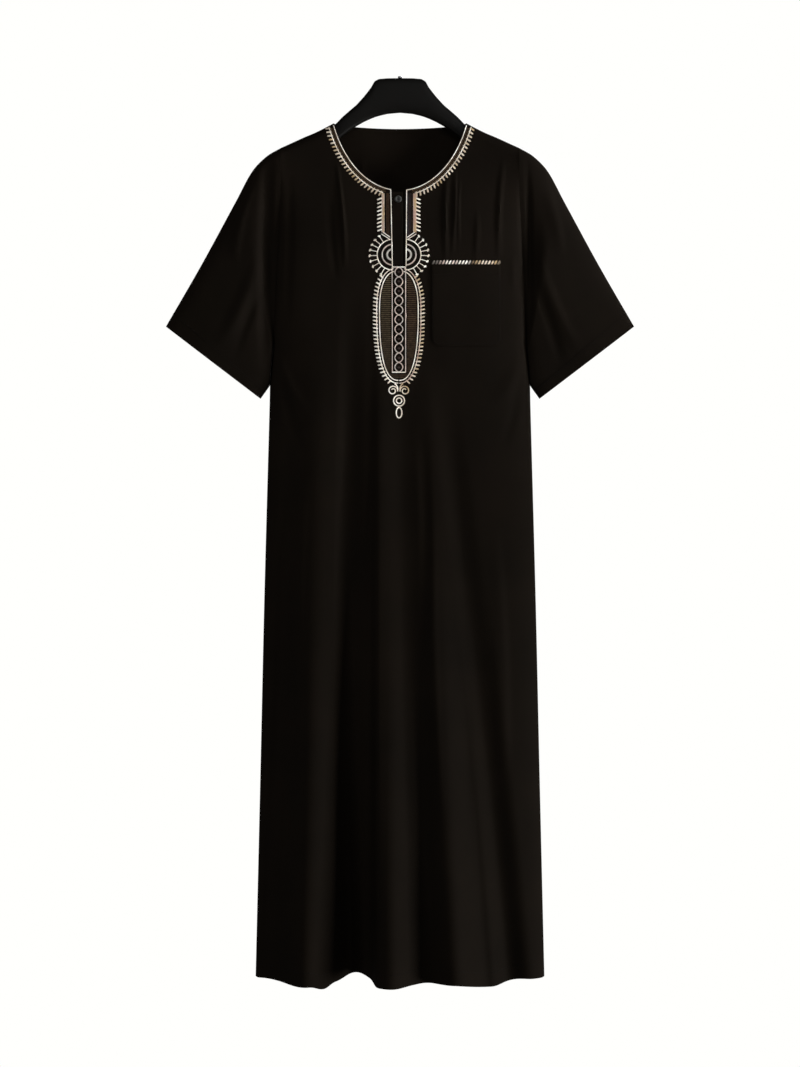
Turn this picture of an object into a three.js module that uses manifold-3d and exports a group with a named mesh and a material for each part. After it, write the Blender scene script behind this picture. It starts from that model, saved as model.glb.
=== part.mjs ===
// A man's short-sleeved jalabiya, hanging on a moulded hanger.
// Millimetres, +Z up, the front faces -Y. The origin is the top of the hanger's ferrule, where a hook
// screws in. Each cloth piece is a thin wall: a grid of outer points, and the same grid moved in by the
// cloth's thickness.
import * as THREE from "three";
import { mergeVertices } from "three/addons/utils/BufferGeometryUtils.js";
import Module from "manifold-3d";

// Driving dimensions
const CLOTH = 1.5; // thickness of a cloth wall
const SEAM = 0.3; // gap left between pieces that meet
const APART = 0.2; // least distance of the front and the back from the plane between them
const HEM_Z = -1439; // hem at the side seams
const UNDERARM_Z = -425;
const SHOULDER_END = 190; // half width between the two armhole seams at the shoulder
const SHOULDER_END_Z = -114.6;
const SHOULDER_ROUND = 16; // how far below the shoulder seam the cloth is still turning over the hanger
const SHOULDER_POWER = 2.2; // of the curve over the hanger: 2 is a quarter circle
const NECK_POINT = 105; // half width between the neck points, where front and back meet
const NECK = { wide: 113, deep: 170, z: -13.6 }; // front neckline: lower part of an ellipse about this height
const BACK_NECK = { z: -81.4, rise: 6.6 }; // back neckline: a shallow arc
const PLACKET = { x: -1.9, half: 12.1, bottom: -306 }; // the opening cut down the front
// The two bands that close it: the under-band reaches behind the front's edges, and the over-band lies in
// the opening and ends at its own free edge, right of the middle.
const UNDER_BAND = { top: -190, overlap: 5, thick: 1 };
const OVER_BAND = { top: -188, gap: 0.5, end: 4.6, thick: 1, sunk: 0.2 };
const POCKET = { x: 105, half: 55, top: -304, tall: 130, corner: 14 };

// Colours and finishes
const BLACK_CLOTH = { color: 0x14110f, roughness: 0.8, metalness: 0 };
const THREAD = { color: 0xcbb998, roughness: 0.55, metalness: 0.1 };
const HANGER_PLASTIC = { color: 0x181715, roughness: 0.45, metalness: 0 };
const STEEL = { color: 0x8d8d8a, roughness: 0.35, metalness: 0.9 };
const BUTTON_RESIN = { color: 0x1c1b1a, roughness: 0.3, metalness: 0 };

// Shoulder seam seen from the front, right half. The rows inside the neck are never cut from cloth: they
// only carry the rounding of the shoulder on towards the middle.
const SHOULDER = [
  { x: 0, z: -18 },
  { x: 60, z: -49 },
  { x: 105, z: -74.4 },
  { x: 134, z: -89.4 },
  { x: 154, z: -98 },
  { x: SHOULDER_END, z: SHOULDER_END_Z },
];

// Half width of the body at each height
const BODY_WIDTH = [
  { z: -190, half: SHOULDER_END },
  { z: -300, half: 196.5 },
  { z: UNDERARM_Z, half: 202.5 },
  { z: -450, half: 204.7 },
  { z: -488, half: 207.7 },
  { z: -524, half: 208.6 },
  { z: -840, half: 217.2 },
  { z: -1126, half: 223.6 },
  { z: HEM_Z, half: 231 },
];

// How far the middle of the front and the back stands from the plane of the hanger
const BODY_DEPTH = [
  { z: 0, front: 12, back: 12.5 },
  { z: -90, front: 12.5, back: 13 },
  { z: -130, front: 15, back: 14.5 },
  { z: -200, front: 20, back: 18 },
  { z: -320, front: 25, back: 22 },
  { z: -600, front: 30, back: 27 },
  { z: -1000, front: 34, back: 31 },
  { z: HEM_Z, front: 36, back: 35 },
];

// Armhole seam: its distance from the plane of the hanger, from the shoulder (0) to the underarm (1).
// It sinks between the body and the sleeve.
const ARMHOLE_DEPTH = [
  { down: 0, deep: 18 },
  { down: 0.14, deep: 18 },
  { down: 0.42, deep: 8 },
  { down: 0.75, deep: 6 },
  { down: 1, deep: 6 },
];

// Hanging folds of the front. chest, knee and hem are the crest's x at those heights, starts is where it
// fades out, deep is its height at the hem (negative for a trough), left and right are its half widths
// there, lean moves the crest sideways over its own foot, and lift raises the hem.
const FRONT_FOLDS = [
  { chest: -178, knee: -193, hem: -219, starts: -430, deep: -9, left: 14, right: 24, lean: 0, lift: 0 },
  { chest: -128, knee: -139, hem: -150, starts: -380, deep: 46, left: 58, right: 60, lean: 0, lift: 0 },
  { chest: -80, knee: -82, hem: -78, starts: -300, deep: -30, left: 28, right: 38, lean: 0, lift: 0 },
  { chest: -31, knee: -30, hem: -25, starts: -400, deep: 46, left: 24, right: 46, lean: -7, lift: 0 },
  { chest: -6, knee: -2, hem: 4, starts: -640, deep: 32, left: 34, right: 50, lean: 0, lift: 0 },
  { chest: 46, knee: 62, hem: 88, starts: -470, deep: 44, left: 62, right: 56, lean: 0, lift: 3 },
  { chest: 52, knee: 124, hem: 174, starts: -380, deep: -18, left: 30, right: 40, lean: 0, lift: 0 },
  { chest: -119, knee: -119, hem: -119, starts: -380, deep: 0, left: 22, right: 18, lean: 0, lift: -7 },
  { chest: -64, knee: -64, hem: -64, starts: -300, deep: 0, left: 36, right: 32, lean: 0, lift: 9 },
  { chest: 142, knee: 142, hem: 142, starts: -470, deep: 0, left: 58, right: 58, lean: 0, lift: -9 },
];
const BACK_FOLDS = [
  { chest: -150, knee: -155, hem: -166, starts: -400, deep: 36, left: 52, right: 44, lean: 0, lift: 0 },
  { chest: -88, knee: -84, hem: -88, starts: -330, deep: -16, left: 36, right: 34, lean: 0, lift: 6 },
  { chest: -40, knee: -34, hem: -30, starts: -440, deep: 50, left: 52, right: 40, lean: 14, lift: 0 },
  { chest: 22, knee: 26, hem: 32, starts: -300, deep: -14, left: 30, right: 34, lean: 0, lift: 5 },
  { chest: 70, knee: 82, hem: 94, starts: -420, deep: 46, left: 46, right: 62, lean: -16, lift: 0 },
  { chest: 150, knee: 160, hem: 178, starts: -520, deep: 24, left: 36, right: 30, lean: 0, lift: 0 },
];
const CHEST_Z = -430;
const KNEE_Z = -950;

// Sleeve: its folded top edge and its lower edge, from the armhole (along 0) to the cuff (along 1), right
// side
const SLEEVE_TOP = [
  { along: 0, x: SHOULDER_END, z: SHOULDER_END_Z },
  { along: 0.077, x: 213, z: -128 },
  { along: 0.17, x: 236, z: -151.5 },
  { along: 0.33, x: 262.5, z: -200 },
  { along: 0.674, x: 318.5, z: -303 },
  { along: 1, x: 374.5, z: -400 },
];
const SLEEVE_UNDER = [
  { along: 0, x: 203, z: UNDERARM_Z },
  { along: 0.3, x: 205.4, z: -450 },
  { along: 0.82, x: 208.6, z: -488 },
  { along: 1, x: 223, z: -515.5 },
];
const SLEEVE_RINGS = [0, 0.04, 0.077, 0.12, 0.17, 0.24, 0.33, 0.48, 0.66, 0.82, 1];
const SLEEVE_DEPTH = 18; // half the thickness of the hanging sleeve
const SLEEVE_GAP = 0.6; // between the sleeve and the body it hangs beside
const SLEEVE_BLEND = 0.3; // by here the sleeve has lost the sunk shape of the armhole
const SLEEVE_ROUND = 22; // points round the tube

// Hanger: the top and bottom edge and half the thickness, right half
const HANGER = [
  { x: 0, top: -2.9, bottom: -57.6, half: 7 },
  { x: 20, top: -3.1, bottom: -59.4, half: 7 },
  { x: 34, top: -4.2, bottom: -62.7, half: 7 },
  { x: 41, top: -8, bottom: -65, half: 7 },
  { x: 46, top: -17.4, bottom: -66.9, half: 7 },
  { x: 58, top: -32.8, bottom: -72.4, half: 7 },
  { x: 70, top: -46, bottom: -79.2, half: 7 },
  { x: 83, top: -57, bottom: -88, half: 7 },
  { x: 93, top: -65.8, bottom: -95.5, half: 6.6 },
  { x: 101, top: -74.2, bottom: -101.5, half: 6 },
  { x: 108, top: -81.4, bottom: -105.5, half: 6.2 },
  { x: 134, top: -92.4, bottom: -119, half: 8.5 },
  { x: 154, top: -101, bottom: -129, half: 10 },
  { x: 180, top: -112.9, bottom: -144, half: 12 },
  { x: 198, top: -122.8, bottom: -152, half: 13 },
  { x: 207, top: -130.5, bottom: -154, half: 12 },
  { x: 210.5, top: -137, bottom: -152, half: 8 },
];
const FERRULE = { r: 3.2, base: 2.6 };
const HANGER_POWER = 0.7; // of its section: 1 is an ellipse, and less is squarer
const BUTTON = { x: -2.8, z: -199.6, r: 5.6, thick: 2.2 };
const BACK_BINDING = { wide: 8, reach: 84, below: 0.9, off: 1.5, thick: 1 };

// Embroidery: raised satin-stitch lines. A low line passes through a high one, so that they join.
const HIGH = { off: 0.3, thick: 1, wide: 2.1 };
const LOW = { off: 0.45, thick: 0.7, wide: 2.1 };
const KNOT = { off: 0.37, thick: 0.86, wide: 3, half: 1.9 }; // where two rings of the column touch
// The neck's border: its width and its distance from the neckline, and beside the placket where its leg
// starts and ends, its inner and outer edges there on the right and the left, and how far its foot slants
// down inwards.
const BORDER = { wide: 9.6, inset: 1.2, from: 0.46, foot: -252, slant: 10, thick: 0.9 };
const LEG = { 1: { inner: 10.9, outer: 25.7 }, "-1": { inner: 14.4, outer: 28.9 } };
const SUN = { x: 10.2, z: -288.5, rings: [24.2, 16, 8.2], outer: 38.3, dot: 4.1 };
const RAYS = { count: 9, from: 54.5, to: -60 };
const PIN = 1.4; // width of a sun's ray before its round head
const OVAL = { z: -378.2, half: 35.1, up: 68.2, down: 114.6, power: 2.5, gap: 3.9, start: -316 };
const COLUMN = { half: 10.7, top: -308.6, bottom: -475.4, rings: 11, r: 6.3 };
const SCROLL = { x: 9.6, z: -505, r: 7.6, last: 2.2, from: 205, to: -310 };
const PENDANT_RINGS = { z: -520.6, radii: [8.4, 4.2] };
const DROP = { z: -540, half: 4.4, tall: 8.2 };
const TRIM = { x: 105, half: 55, z: -300.6, tall: 5 };

const wasm = await Module();
wasm.setup();

const lerp = (a, b, t) => a + (b - a) * t;
const smooth = (t) => THREE.MathUtils.smoothstep(t, 0, 1);
const swell = (t) => (Math.abs(t) < 1 ? Math.cos((Math.PI * t) / 2) ** 2 : 0);

// Reads a column of a table at a place between its rows, on a smooth curve through them.
function read(table, by, column, at) {
  const rows = table[0][by] > table[table.length - 1][by] ? [...table].reverse() : table;
  const n = rows.length;
  if (at <= rows[0][by]) return rows[0][column];
  if (at >= rows[n - 1][by]) return rows[n - 1][column];
  let i = 0;
  while (rows[i + 1][by] < at) i++;
  const slope = (k) => {
    const a = rows[Math.max(k - 1, 0)];
    const b = rows[Math.min(k + 1, n - 1)];
    return (b[column] - a[column]) / (b[by] - a[by]);
  };
  const step = rows[i + 1][by] - rows[i][by];
  const t = (at - rows[i][by]) / step;
  const rise = rows[i + 1][column] - rows[i][column];
  const a = slope(i) * step - rise;
  const b = -slope(i + 1) * step + rise;
  return lerp(rows[i][column], rows[i + 1][column], t) + t * (1 - t) * lerp(a, b, t);
}

// A mesh's geometry from points and triangles, turned so that its faces point outwards.
function geometryOf(points, triangles) {
  const position = points.flatMap((p) => [p.x, p.y, p.z]);
  let volume = 0;
  for (const [a, b, c] of triangles) volume += points[a].dot(points[b].clone().cross(points[c]));
  const index = triangles.flatMap(([a, b, c]) => (volume < 0 ? [a, c, b] : [a, b, c]));
  const g = new THREE.BufferGeometry();
  g.setAttribute("position", new THREE.Float32BufferAttribute(position, 3));
  g.setIndex(index);
  g.computeVertexNormals();
  return g;
}

// A cloth wall over a grid of places: at(i, j) gives the outer point, and the inner one lies a thickness
// behind it. A wall that wraps is a tube, open at both ends. keep moves an inner point that would reach
// into a neighbour.
function wall(rows, columns, at, thickness, wraps, inward, keep = (p) => p) {
  const outer = [];
  for (let i = 0; i < rows; i++) for (let j = 0; j < columns; j++) outer.push(at(i, j));
  const id = (i, j) => i * columns + (wraps ? (j + columns) % columns : j);
  const inner = outer.map((p, k) => {
    const i = Math.floor(k / columns);
    const j = k % columns;
    const lo = wraps ? j - 1 : Math.max(j - 1, 0);
    const hi = wraps ? j + 1 : Math.min(j + 1, columns - 1);
    const across = outer[id(i, hi)].clone().sub(outer[id(i, lo)]);
    const down = outer[id(Math.min(i + 1, rows - 1), j)].clone().sub(outer[id(Math.max(i - 1, 0), j)]);
    const normal = across.cross(down).normalize();
    return keep(p.clone().addScaledVector(normal, thickness * inward));
  });
  const points = [...outer, ...inner];
  const n = outer.length;
  const triangles = [];
  const quad = (a, b, c, d) => triangles.push([a, b, c], [a, c, d]);
  const last = wraps ? columns : columns - 1;
  for (let i = 0; i < rows - 1; i++)
    for (let j = 0; j < last; j++) {
      const [a, b, c, d] = [id(i, j), id(i, j + 1), id(i + 1, j + 1), id(i + 1, j)];
      quad(a, b, c, d);
      quad(n + d, n + c, n + b, n + a);
    }
  for (let j = 0; j < last; j++) {
    const [a, b, c, d] = [id(0, j), id(0, j + 1), id(rows - 1, j), id(rows - 1, j + 1)];
    quad(b, a, n + a, n + b);
    quad(c, d, n + d, n + c);
  }
  if (!wraps)
    for (let i = 0; i < rows - 1; i++) {
      const [a, b, c, d] = [id(i, 0), id(i + 1, 0), id(i, columns - 1), id(i + 1, columns - 1)];
      quad(a, b, n + b, n + a);
      quad(d, c, n + c, n + d);
    }
  return geometryOf(points, triangles);
}

// manifold-3d solids, to cut and join
function solidOf(geometry) {
  const bare = geometry.clone();
  bare.deleteAttribute("normal");
  bare.deleteAttribute("uv");
  const merged = mergeVertices(bare, 1e-4);
  return new wasm.Manifold(
    new wasm.Mesh({
      numProp: 3,
      vertProperties: merged.attributes.position.array,
      triVerts: new Uint32Array(merged.index.array),
    }),
  );
}
function pointsOf(solid) {
  const mesh = solid.getMesh();
  const points = [];
  for (let i = 0; i < mesh.numVert; i++)
    points.push(new THREE.Vector3(...mesh.vertProperties.subarray(i * mesh.numProp, i * mesh.numProp + 3)));
  const triangles = [];
  for (let i = 0; i < mesh.triVerts.length; i += 3) triangles.push([...mesh.triVerts.subarray(i, i + 3)]);
  return { points, triangles };
}

// The body's surface. side is -1 for the front and 1 for the back.
const neckline = (x) => NECK.z - NECK.deep * Math.sqrt(Math.max(0, 1 - (x / NECK.wide) ** 2));
const backNeckline = (x) => BACK_NECK.z + BACK_NECK.rise * (x / NECK_POINT) ** 2;
const shoulder = (x) => read(SHOULDER, "x", "z", Math.abs(x));
const turnOver = (below) => {
  const rest = 1 - Math.min(Math.max(below / SHOULDER_ROUND, 0), 1);
  return (1 - rest ** SHOULDER_POWER) ** (1 / SHOULDER_POWER);
};
const armholeDepth = (down) => {
  const at = Math.min(Math.max(down, 0), 1);
  return read(ARMHOLE_DEPTH, "down", "deep", at) * Math.sqrt(1 - at ** 8);
};

// Where a fold's crest is at height z, and what share of its height and width it has there.
function foldAt(z, row) {
  const [c, k, h] = [CHEST_Z, KNEE_Z, HEM_Z];
  const crest =
    (row.chest * (z - k) * (z - h)) / ((c - k) * (c - h)) +
    (row.knee * (z - c) * (z - h)) / ((k - c) * (k - h)) +
    (row.hem * (z - c) * (z - k)) / ((h - c) * (h - k));
  const grown = THREE.MathUtils.clamp((row.starts - z) / (row.starts - HEM_Z), 0, 1);
  return { crest, height: grown ** 1.25, width: 0.72 + 0.28 * grown };
}

// The point of the body's outer face at flat place x, height z.
function body(side, x, z) {
  const half = read(BODY_WIDTH, "z", "half", z);
  const share = Math.min(Math.abs(x) / half, 1);
  const edge = armholeDepth((SHOULDER_END_Z - z) / (SHOULDER_END_Z - UNDERARM_Z));
  const middle = read(BODY_DEPTH, "z", side < 0 ? "front" : "back", z);
  let out = lerp(edge, middle, Math.sqrt(1 - share ** 4)) * turnOver(shoulder(x) - z);
  let across = x;
  const flat = 1 - share ** 10;
  for (const row of side < 0 ? FRONT_FOLDS : BACK_FOLDS) {
    const { crest, height, width } = foldAt(z, row);
    const from = (x - crest) / (width * (x < crest ? row.left : row.right));
    out += row.deep * height * swell(from) * flat;
    across += row.lean * height * swell(from) * flat;
  }
  return new THREE.Vector3(across, side * (out + APART), z);
}

function hemLift(side, x) {
  let lift = 0;
  for (const row of side < 0 ? FRONT_FOLDS : BACK_FOLDS)
    lift += row.lift * swell((x - row.hem) / (x < row.hem ? row.left : row.right));
  return lift;
}

// Shares of the height where a panel has its rows: close together over the shoulder, and one at the
// underarm.
function rowShares(overShoulder, toUnderarm, toHem) {
  const turn = SHOULDER_ROUND / (SHOULDER_END_Z - HEM_Z);
  const arm = (SHOULDER_END_Z - UNDERARM_Z) / (SHOULDER_END_Z - HEM_Z);
  const shares = [];
  for (let i = 0; i < overShoulder; i++) shares.push(turn * (i / overShoulder) ** 1.8);
  for (let i = 0; i < toUnderarm; i++) shares.push(lerp(turn, arm, i / toUnderarm));
  for (let i = 0; i <= toHem; i++) shares.push(lerp(arm, 1, i / toHem));
  return shares;
}

// Flat places of a panel's columns along the shoulder line: close together at the neck points.
function columnPlaces(inside, outside) {
  const half = [];
  for (let i = 1; i <= inside; i++) half.push((NECK_POINT - 1.6) * (i / inside) ** 0.92);
  half.push(NECK_POINT - 0.1, NECK_POINT + 3);
  for (let i = 1; i <= outside; i++) half.push(lerp(NECK_POINT + 3, SHOULDER_END, (i / outside) ** 0.92));
  return [...[...half].reverse().map((x) => -x), 0, ...half];
}

// A whole panel: its top edge is the neckline between the neck points and the shoulder seam beyond them.
function panel(side, places, shares) {
  const line = side < 0 ? neckline : backNeckline;
  const top = (x) => (Math.abs(x) < NECK_POINT ? Math.min(line(x), shoulder(x)) : shoulder(x));
  const at = (i, j) => {
    const place = places[j] / SHOULDER_END;
    const start = top(places[j]);
    const hem = HEM_Z + hemLift(side, place * read(BODY_WIDTH, "z", "half", HEM_Z));
    const z = lerp(start, hem, shares[i]);
    return body(side, place * read(BODY_WIDTH, "z", "half", z), z);
  };
  const keep = (p) => p.setY(side * Math.max(side * p.y, APART));
  return wall(shares.length, places.length, at, CLOTH, false, -side, keep);
}

const wholeFront = panel(-1, columnPlaces(11, 6), rowShares(4, 7, 15));
const back = panel(1, columnPlaces(8, 5), rowShares(4, 6, 14));

// The front's opening for the placket is cut out of the whole panel.
function frontPanel() {
  const tall = 200;
  const deep = 200;
  const cutter = new THREE.BoxGeometry(2 * PLACKET.half, deep, tall);
  cutter.translate(PLACKET.x, -deep / 2, PLACKET.bottom + tall / 2);
  const { points, triangles } = pointsOf(solidOf(wholeFront).subtract(solidOf(cutter)));
  return geometryOf(points, triangles);
}

// The place that lies a distance off a panel's outer face, at x and height z.
const sight = new THREE.Raycaster();
const faces = { front: new THREE.Mesh(wholeFront), back: new THREE.Mesh(back) };
function offPanel(side, x, z, off) {
  sight.set(new THREE.Vector3(x, side * 500, z), new THREE.Vector3(0, -side, 0));
  const [hit] = sight.intersectObject(side < 0 ? faces.front : faces.back);
  return new THREE.Vector3(x, (hit ? hit.point.y : body(side, x, z).y) + side * off, z);
}

// A sleeve is one tube. hand is 1 for the right of the picture and -1 for the left.
function sleeve(hand) {
  const at = (i, j) => {
    const along = SLEEVE_RINGS[i];
    const turn = (2 * Math.PI * j) / SLEEVE_ROUND;
    const down = (1 - Math.cos(turn)) / 2;
    const side = Math.sin(turn) < 0 ? 1 : -1;
    const [topX, topZ] = ["x", "z"].map((key) => read(SLEEVE_TOP, "along", key, along));
    const top = new THREE.Vector2(topX, topZ);
    const under = new THREE.Vector2(
      read(SLEEVE_UNDER, "along", "x", along),
      read(SLEEVE_UNDER, "along", "z", along),
    );
    const p = top.clone().lerp(under, down);
    const edge = armholeDepth(down) * turnOver(down * top.distanceTo(under));
    const plain = SLEEVE_DEPTH * (1 - Math.abs(2 * down - 1) ** 2.6) ** (1 / 2.2);
    const deep = lerp(edge, plain, smooth(along / SLEEVE_BLEND));
    const seam = read(BODY_WIDTH, "z", "half", p.y) + SLEEVE_GAP;
    return new THREE.Vector3(hand * (along === 0 ? seam : Math.max(seam, p.x)), side * deep, p.y);
  };
  const keep = (p) => p.setX(hand * Math.max(hand * p.x, read(BODY_WIDTH, "z", "half", p.z) + SLEEVE_GAP));
  return wall(SLEEVE_RINGS.length, SLEEVE_ROUND, at, CLOTH, true, -hand, keep);
}

// The same path of [x, z] places with more added, so that it bends with the cloth under it.
function spaced(path, step = 12) {
  return path.flatMap((p, i) => {
    const q = path[Math.min(i + 1, path.length - 1)];
    const parts = Math.max(1, Math.ceil(Math.hypot(q[0] - p[0], q[1] - p[1]) / step));
    const between = (k) => [lerp(p[0], q[0], k / parts), lerp(p[1], q[1], k / parts)];
    return Array.from({ length: parts }, (_, k) => between(k));
  });
}

// A raised strip on the front between two paths with as many places each.
function strip(left, right, height, closed = false) {
  const n = left.length;
  const ring = [];
  for (let i = 0; i < n; i++)
    for (const [[x, z], off] of [
      [left[i], height.off],
      [right[i], height.off],
      [right[i], height.off + height.thick],
      [left[i], height.off + height.thick],
    ])
      ring.push(offPanel(-1, x, z, off));
  const triangles = [];
  for (let i = 0; i < (closed ? n : n - 1); i++)
    for (let k = 0; k < 4; k++) {
      const [a, b] = [4 * i + k, 4 * i + ((k + 1) % 4)];
      const [c, d] = [4 * ((i + 1) % n) + ((k + 1) % 4), 4 * ((i + 1) % n) + k];
      triangles.push([a, b, c], [a, c, d]);
    }
  const end = 4 * (n - 1);
  if (!closed) triangles.push([0, 2, 1], [0, 3, 2], [end, end + 1, end + 2], [end, end + 2, end + 3]);
  return geometryOf(ring, triangles);
}

// A stitched line along a path. wide may give the width at each of the path's places.
function line(path, height, closed = false, wide = path.map(() => height.wide)) {
  const n = path.length;
  const left = [];
  const right = [];
  for (let i = 0; i < n; i++) {
    const before = path[closed ? (i - 1 + n) % n : Math.max(i - 1, 0)];
    const after = path[closed ? (i + 1) % n : Math.min(i + 1, n - 1)];
    const [dx, dz] = [after[0] - before[0], after[1] - before[1]];
    const half = wide[i] / 2 / Math.hypot(dx, dz);
    left.push([path[i][0] - dz * half, path[i][1] + dx * half]);
    right.push([path[i][0] + dz * half, path[i][1] - dx * half]);
  }
  return strip(left, right, height, closed);
}

function arc(x, z, r, from, to, steps, tall = r) {
  return Array.from({ length: steps + 1 }, (_, i) => {
    const a = THREE.MathUtils.degToRad(lerp(from, to, i / steps));
    return [x + r * Math.cos(a), z + tall * Math.sin(a)];
  });
}
const ringPath = (x, z, r, sides, tall = r) => arc(x, z, r, 0, 360 - 360 / sides, sides - 1, tall);

function joined(pieces) {
  const { points, triangles } = pointsOf(pieces.map(solidOf).reduce((all, piece) => all.add(piece)));
  return geometryOf(points, triangles);
}

// One side of the neck's border: a band along the neckline, round the corner and down beside the placket.
function neckBorder(hand) {
  const { inset, wide, from, foot, slant, thick } = BORDER;
  const leg = LEG[hand];
  const inner = [];
  const outer = [];
  const [to, steps] = [Math.acos((leg.inner - inset) / NECK.wide), 17];
  for (let i = 0; i <= steps; i++) {
    const a = lerp(from, to, i / steps);
    const [x, z] = [NECK.wide * Math.cos(a), NECK.z - NECK.deep * Math.sin(a)];
    const out = new THREE.Vector2(x / NECK.wide ** 2, (z - NECK.z) / NECK.deep ** 2).normalize();
    inner.push([Math.max(x + out.x * inset, leg.inner), z + out.y * inset]);
    outer.push([Math.max(x + out.x * (wide + inset), leg.outer), z + out.y * (wide + inset)]);
  }
  const corner = inner[steps][1];
  const turn = outer[steps][1];
  const legSteps = 7;
  for (let i = 1; i <= legSteps; i++) {
    inner.push([leg.inner, lerp(corner, foot - slant, i / legSteps)]);
    outer.push([leg.outer, lerp(turn, foot, i / legSteps)]);
  }
  const side = (path) => path.map(([x, z]) => [hand * x, z]);
  return strip(side(inner), side(outer), { off: HIGH.off, thick });
}

// Half a sun beside the placket: three arcs on a post, and pins with round heads.
function sun(hand) {
  const x = PLACKET.x + hand * SUN.x;
  const edge = PLACKET.half - SUN.x + HIGH.wide / 2;
  const turn = (a) => (hand > 0 ? a : 180 - a);
  const open = (r) => THREE.MathUtils.radToDeg(Math.acos(edge / r));
  const pieces = SUN.rings.map((r) => line(arc(x, SUN.z, r, turn(open(r)), turn(-open(r)), 12), LOW));
  const post = [
    [x + hand * edge, SUN.z + SUN.rings[0]],
    [x + hand * edge, SUN.z - SUN.rings[0]],
  ];
  pieces.push(line(spaced(post), HIGH));
  for (let i = 0; i < RAYS.count; i++) {
    const a = THREE.MathUtils.degToRad(turn(lerp(RAYS.from, RAYS.to, i / (RAYS.count - 1))));
    const head = [0.1, 0.75, 1, 0.75, 0.2];
    const reach = [SUN.rings[0] - 0.5, ...head.map((_, k) => SUN.outer - SUN.dot * (1 - k / 4))];
    const path = reach.map((r) => [x + r * Math.cos(a), SUN.z + r * Math.sin(a)]);
    pieces.push(line(path, HIGH, false, [PIN, PIN, ...head.slice(1).map((w) => w * SUN.dot)]));
  }
  return joined(pieces);
}

// The long oval round the column: two lines, joined where they run out under the suns.
function ovalBorder() {
  const round = (v) => Math.sign(v) * Math.abs(v) ** (2 / OVAL.power);
  const path = (inside) => {
    const all = arc(0, 0, 1, 135, 405, 44).map(([x, z]) => {
      const tall = (z > 0 ? OVAL.up : OVAL.down) - inside;
      return [PLACKET.x + (OVAL.half - inside) * round(x), OVAL.z + tall * round(z)];
    });
    return all.filter(([, z]) => z < OVAL.start);
  };
  const [outer, inner] = [path(0), path(OVAL.gap)];
  const ends = [
    [outer[0], inner[0]],
    [outer.at(-1), inner.at(-1)],
  ];
  return joined([line(outer, HIGH), line(inner, HIGH), ...ends.map((end) => line(end, LOW))]);
}

// The column of rings between two upright lines, under the placket.
function ringColumn() {
  const { half, top, bottom } = COLUMN;
  const corners = [
    [PLACKET.x - half, top],
    [PLACKET.x + half, top],
    [PLACKET.x + half, bottom],
    [PLACKET.x - half, bottom],
  ];
  const edge = HIGH.wide / 2;
  const grow = (d) => corners.map(([x, z], i) => [x + (i === 1 || i === 2 ? d : -d), z + (i < 2 ? d : -d)]);
  const loop = (d) => [...grow(d), grow(d)[0]];
  const parts = [1, 10, 1, 10];
  const around = (d) =>
    parts.flatMap((n, i) => {
      const [p, q] = [loop(d)[i], loop(d)[i + 1]];
      return Array.from({ length: n }, (_, k) => [lerp(p[0], q[0], k / n), lerp(p[1], q[1], k / n)]);
    });
  const pieces = [strip(around(edge), around(-edge), HIGH, true)];
  const pitch = (top - bottom) / COLUMN.rings;
  for (let i = 0; i < COLUMN.rings; i++) {
    const z = top - pitch * (i + 0.5);
    pieces.push(line(ringPath(PLACKET.x, z, COLUMN.r, 8), LOW, true));
  }
  for (let i = 0; i <= COLUMN.rings; i++) {
    const z = top - pitch * i;
    const knot = [
      [PLACKET.x, z + KNOT.half],
      [PLACKET.x, z - KNOT.half],
    ];
    pieces.push(line(knot, KNOT));
  }
  return joined(pieces);
}

// Two scrolls, a double ring and a drop, under the oval.
function pendant() {
  const { x: scrollX, z: scrollZ, r, last, from, to } = SCROLL;
  const mid = PLACKET.x;
  const pieces = [-1, 1].map((hand) => {
    const spiral = Array.from({ length: 17 }, (_, i) => {
      const a = THREE.MathUtils.degToRad(lerp(from, to, i / 16));
      const out = lerp(r, last, (i / 16) ** 1.2);
      return [mid + hand * (scrollX + out * Math.cos(a)), scrollZ + out * Math.sin(a)];
    });
    return line(spiral, LOW);
  });
  const upright = (top, bottom) => [
    [mid, top],
    [mid, bottom],
  ];
  const bar = [
    [mid - 3.6, scrollZ],
    [mid + 3.6, scrollZ],
  ];
  const { z: ringZ, radii } = PENDANT_RINGS;
  pieces.push(line(bar, HIGH), line(upright(scrollZ + 0.4, ringZ + radii[1] - 0.6), { ...HIGH, off: 0.35 }));
  for (const radius of radii) pieces.push(line(ringPath(mid, ringZ, radius, 14), LOW, true));
  pieces.push(line(ringPath(mid, DROP.z, DROP.half, 12, DROP.tall), LOW, true));
  pieces.push(line(upright(ringZ - radii[0] + 0.6, DROP.z + DROP.tall - 0.6), HIGH));
  return joined(pieces);
}

// A strip of cloth on the front, wall thickness and all, from its own grid.
function layer(x0, x1, top, bottom, off, thickness) {
  const columns = 2 + Math.round(Math.abs(x1 - x0) / 9);
  const rows = 2 + Math.round((top - bottom) / 14);
  const at = (i, j) => offPanel(-1, lerp(x0, x1, j / (columns - 1)), lerp(top, bottom, i / (rows - 1)), off);
  return wall(rows, columns, at, thickness, false, 1);
}

// Patch pocket with two rounded lower corners.
function pocket() {
  const { x, half, top, tall, corner } = POCKET;
  const low = top - tall + corner;
  const columns = 10;
  const rows = 12;
  const at = (i, j) => {
    const z = lerp(top, top - tall, i / (rows - 1));
    const drop = Math.max(0, low - z) / corner;
    const narrow = corner * (1 - Math.sqrt(Math.max(0, 1 - drop ** 2)));
    return offPanel(-1, x + lerp(-half + narrow, half - narrow, j / (columns - 1)), z, CLOTH + SEAM);
  };
  return wall(rows, columns, at, CLOTH, false, 1);
}

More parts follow.
